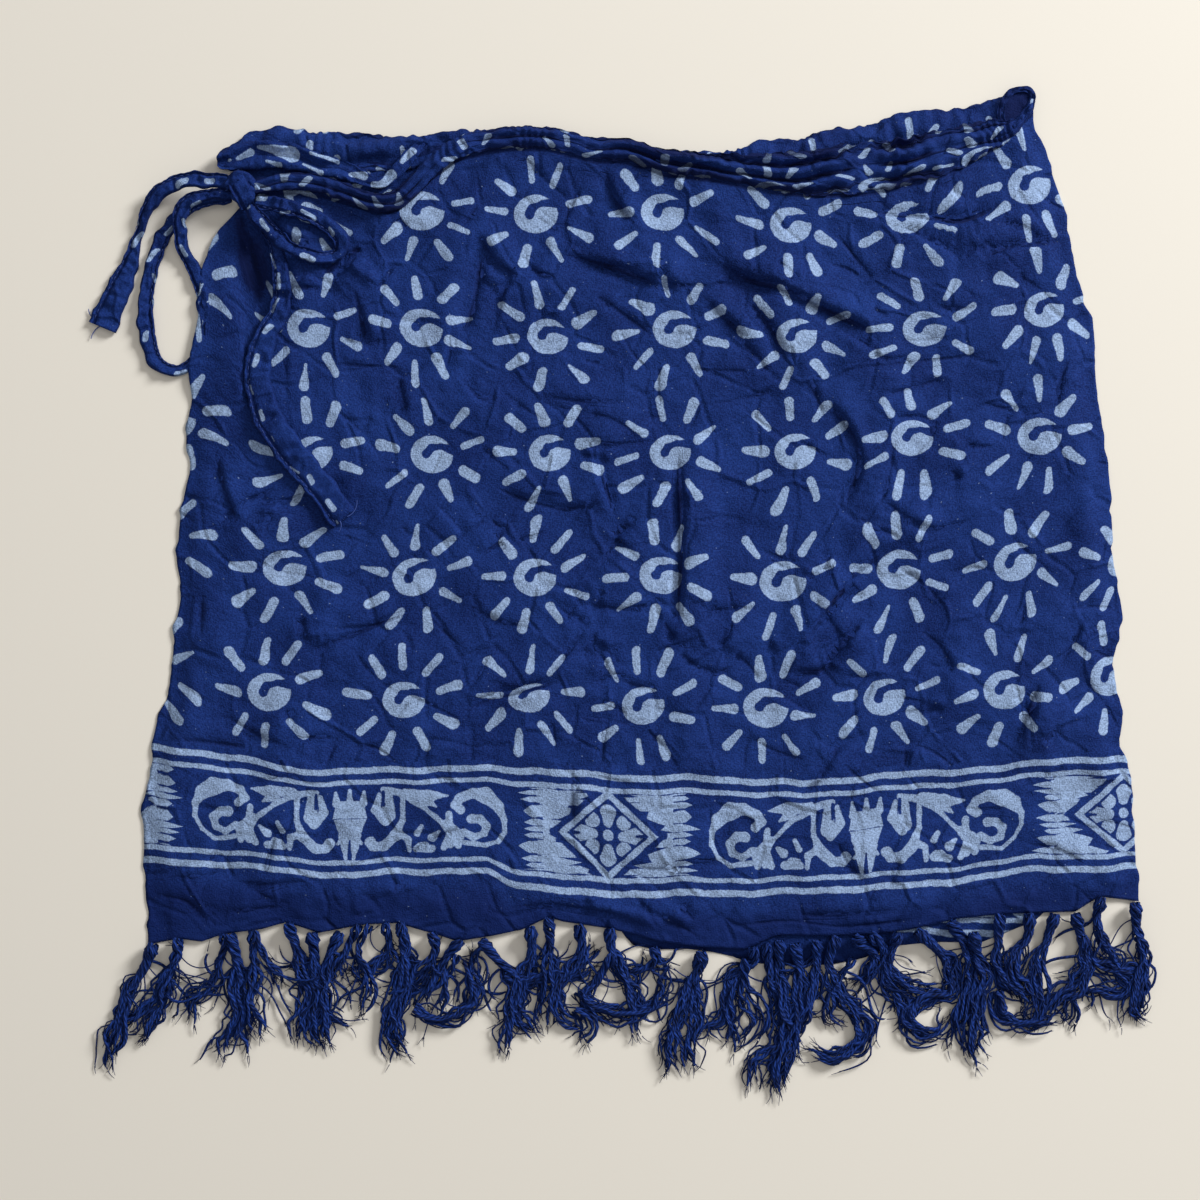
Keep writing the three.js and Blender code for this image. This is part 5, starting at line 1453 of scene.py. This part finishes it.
HEM_GAP = 3.0        # a wandering yarn stays this far below the hem
SIDE_YARNS = 225.0   # a yarn that comes loose further out than this curls back inwards
YARN_END = np.array([0.9, 0.75, 0.45])   # how the last points of a yarn thin out


def wandering(random, start, heading, reach, curl):
    """The way of a yarn that has come loose: it bends this way and that as it goes."""
    at = np.arange(0, reach, WANDER_STEP)
    bend = curl * value_noise(at, 0 * at, 13, int(random.integers(1e6)))
    bend = bend + random.uniform(-0.035, 0.035)
    x, y = headed(start, heading + np.cumsum(bend * WANDER_STEP), WANDER_STEP)
    z = start[2] + 1.6 * value_noise(at, 0 * at, 9, int(random.integers(1e6)))
    z = np.maximum(z * (1 - 0.6 * at / reach), 1.0)
    return at, np.stack([x, np.minimum(y, front_hem(x) - HEM_GAP), z], -1)


def fray(random, hairs, path, count, seed):
    """The cut end of a yarn opens into fine hairs that keep close to its heading."""
    heading = path[-1] - path[-3]
    turn = math.atan2(heading[1], heading[0])
    for _ in range(count):
        begin = path[-int(random.integers(1, 4))]
        reach = np.linspace(0, random.uniform(2.5, 6.5), 6)
        angle = turn + random.uniform(-0.32, 0.32) + random.uniform(-0.12, 0.12) * reach
        x, y = headed(begin, angle, np.gradient(reach))
        hair = np.stack([x, y, np.maximum(begin[2] * (1 - reach / 14), 0.35)], -1)
        hairs.add(hair, np.linspace(0.30, 0.12, 6), 3, reach, seed)


def build_bundle(random, number, bundle, seed, yarns_mesh, hairs):
    """One bundle: a knot and a short rope at the hem, then thick yarns and finer threads."""
    yarns, spread, *route = bundle
    travel, line = eased(route, STEP)
    total = travel[-1]
    rooted = route[0][1] > HANGING
    root = ROOT * random.uniform(0.75, 1.1)
    loosened = smoothstep(root * 0.6, root * 1.5, travel) if rooted else np.ones_like(travel)
    knot = 1 + 0.55 * np.exp(-((travel - 4) / 2.4) ** 2) if rooted else np.ones_like(travel)
    pile = random.uniform(0.2, 1.7)
    thick = max(int(round(yarns * 0.62)), 2)
    fine = int(round(yarns * 1.1)) + 2
    tight = 0.75 + 0.12 * yarns
    direction = 1 if number % 2 else -1
    for strand in range(thick + fine):
        is_thick = strand < thick
        phase = 2 * np.pi * strand / thick + random.uniform(-0.3, 0.3)
        inward = 1.0 if is_thick else random.uniform(0.5, 1.45)
        radius = random.uniform(0.85, 1.25) if is_thick else random.uniform(0.3, 0.7)
        twist = direction * travel / random.uniform(19, 23) * 2 * np.pi + phase
        wave = 0 * travel + strand * 9
        sway = (3.8 if is_thick else 6.4) * value_noise(travel, wave, 15, seed + number)
        kink = (2.3 if is_thick else 3.2) * value_noise(travel, wave, 6.5, seed + number + 7)
        place = random.uniform(-1, 1) * spread * (0.42 + 0.46 * travel / total)
        ropy = tight * inward * knot
        offset = ropy * np.cos(twist) * (1 - loosened) + (place + sway + kink) * loosened
        rope = ropy * (1 + np.sin(twist)) + 2.0 * smoothstep(12, 0, travel)
        stack = pile + random.uniform(0, 2.0)
        stack = stack + 1.1 * value_noise(travel, wave + 4, 12, seed - number)
        stack = np.maximum(stack, 0) * (0.25 + 0.75 * smoothstep(total, total - 18, travel))
        z = 1.35 * radius + 0.25 + rope * (1 - loosened) + stack * loosened
        stop = max(int(len(travel) * random.uniform(0.74, 1.0)), 5)
        path = beside(line, offset, z)[:stop]
        width = radius * (1 + 0.12 * value_noise(travel[:stop], wave[:stop], 5, seed + 11)) * (
            1 + 0.25 * (knot[:stop] - 1))
        width[-3:] *= YARN_END
        yarns_mesh.add(path, width, 7 if is_thick else 4, travel, strand + number)
        fray(random, hairs, path, 5 if is_thick else 1, strand)
    if rooted:
        # A few yarns leave the bundle and curl away over their neighbours.
        for stray in range(int(random.integers(2, 6))):
            begin = line[min(int(root * random.uniform(0.5, 1.6) / STEP), len(line) - 1)]
            lean = random.uniform(-1.3, 1.3)
            lean = math.copysign(lean, -begin[0]) if abs(begin[0]) > SIDE_YARNS else lean
            heading = -math.pi / 2 + lean
            at, path = wandering(random, (begin[0], begin[1], random.uniform(1.5, 6)), heading,
                                 random.uniform(14, 36), 0.14)
            radius = random.choice([0.34, 0.5, 0.85])
            width = np.full(len(at), radius)
            width[-3:] *= YARN_END
            yarns_mesh.add(path, width, 5, at, stray + number)
            fray(random, hairs, path, 2, stray)


def build_fringe(name, node, bundles, seed):
    """One stretch of the fringe: its yarns, and the hairs at their cut ends."""
    random = np.random.default_rng(seed)
    yarns_mesh, hairs = Strands(), Strands()
    for number, bundle in enumerate(bundles):
        build_bundle(random, number, bundle, seed, yarns_mesh, hairs)
    yarns_mesh.mesh(name, node, "fringe_yarn", yarn)
    hairs.mesh(name + "_fray", node, "fringe_yarn", yarn)


def hangs_from_back(bundle):
    """Between these two places the back layer's hem shows below the front's."""
    x, y = bundle[2]
    return 10 < x < 205 and y < front_hem(x) - 1.0


front_bundles = [bundle for bundle in BUNDLES if not hangs_from_back(bundle)]
back_bundles = [bundle for bundle in BUNDLES if hangs_from_back(bundle)]
build_fringe("left_tassels", "front_fringe", front_bundles[::2], 101)
build_fringe("right_tassels", "front_fringe", front_bundles[1::2], 151)
build_fringe("back_tassels", "back_fringe", back_bundles, 202)


# ---- surface -------------------------------------------------------------------------------------
# A plain pale floor, matt and warm off-white, that the skirt lies on. It belongs to the setting and
# only carries the skirt and takes its shadows.


def build_floor():
    half = 3000.0
    corners = [(-half, -half, 0), (half, -half, 0), (half, half, 0), (-half, half, 0)]
    material = bpy.data.materials.new("pale_floor")
    material.use_nodes = True
    tree = material.node_tree
    surface = tree.nodes["Principled BSDF"]
    surface.inputs["Base Color"].default_value = linear("e4dfd5")
    surface.inputs["Roughness"].default_value = 0.9
    floor = make_mesh("floor", corners, [[0, 1, 2, 3]], None, material)
    floor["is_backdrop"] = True


build_floor()

sizes = {"cad": [list(corner) for corner in cad_box],
         "visual": [list(corner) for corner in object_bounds()]}
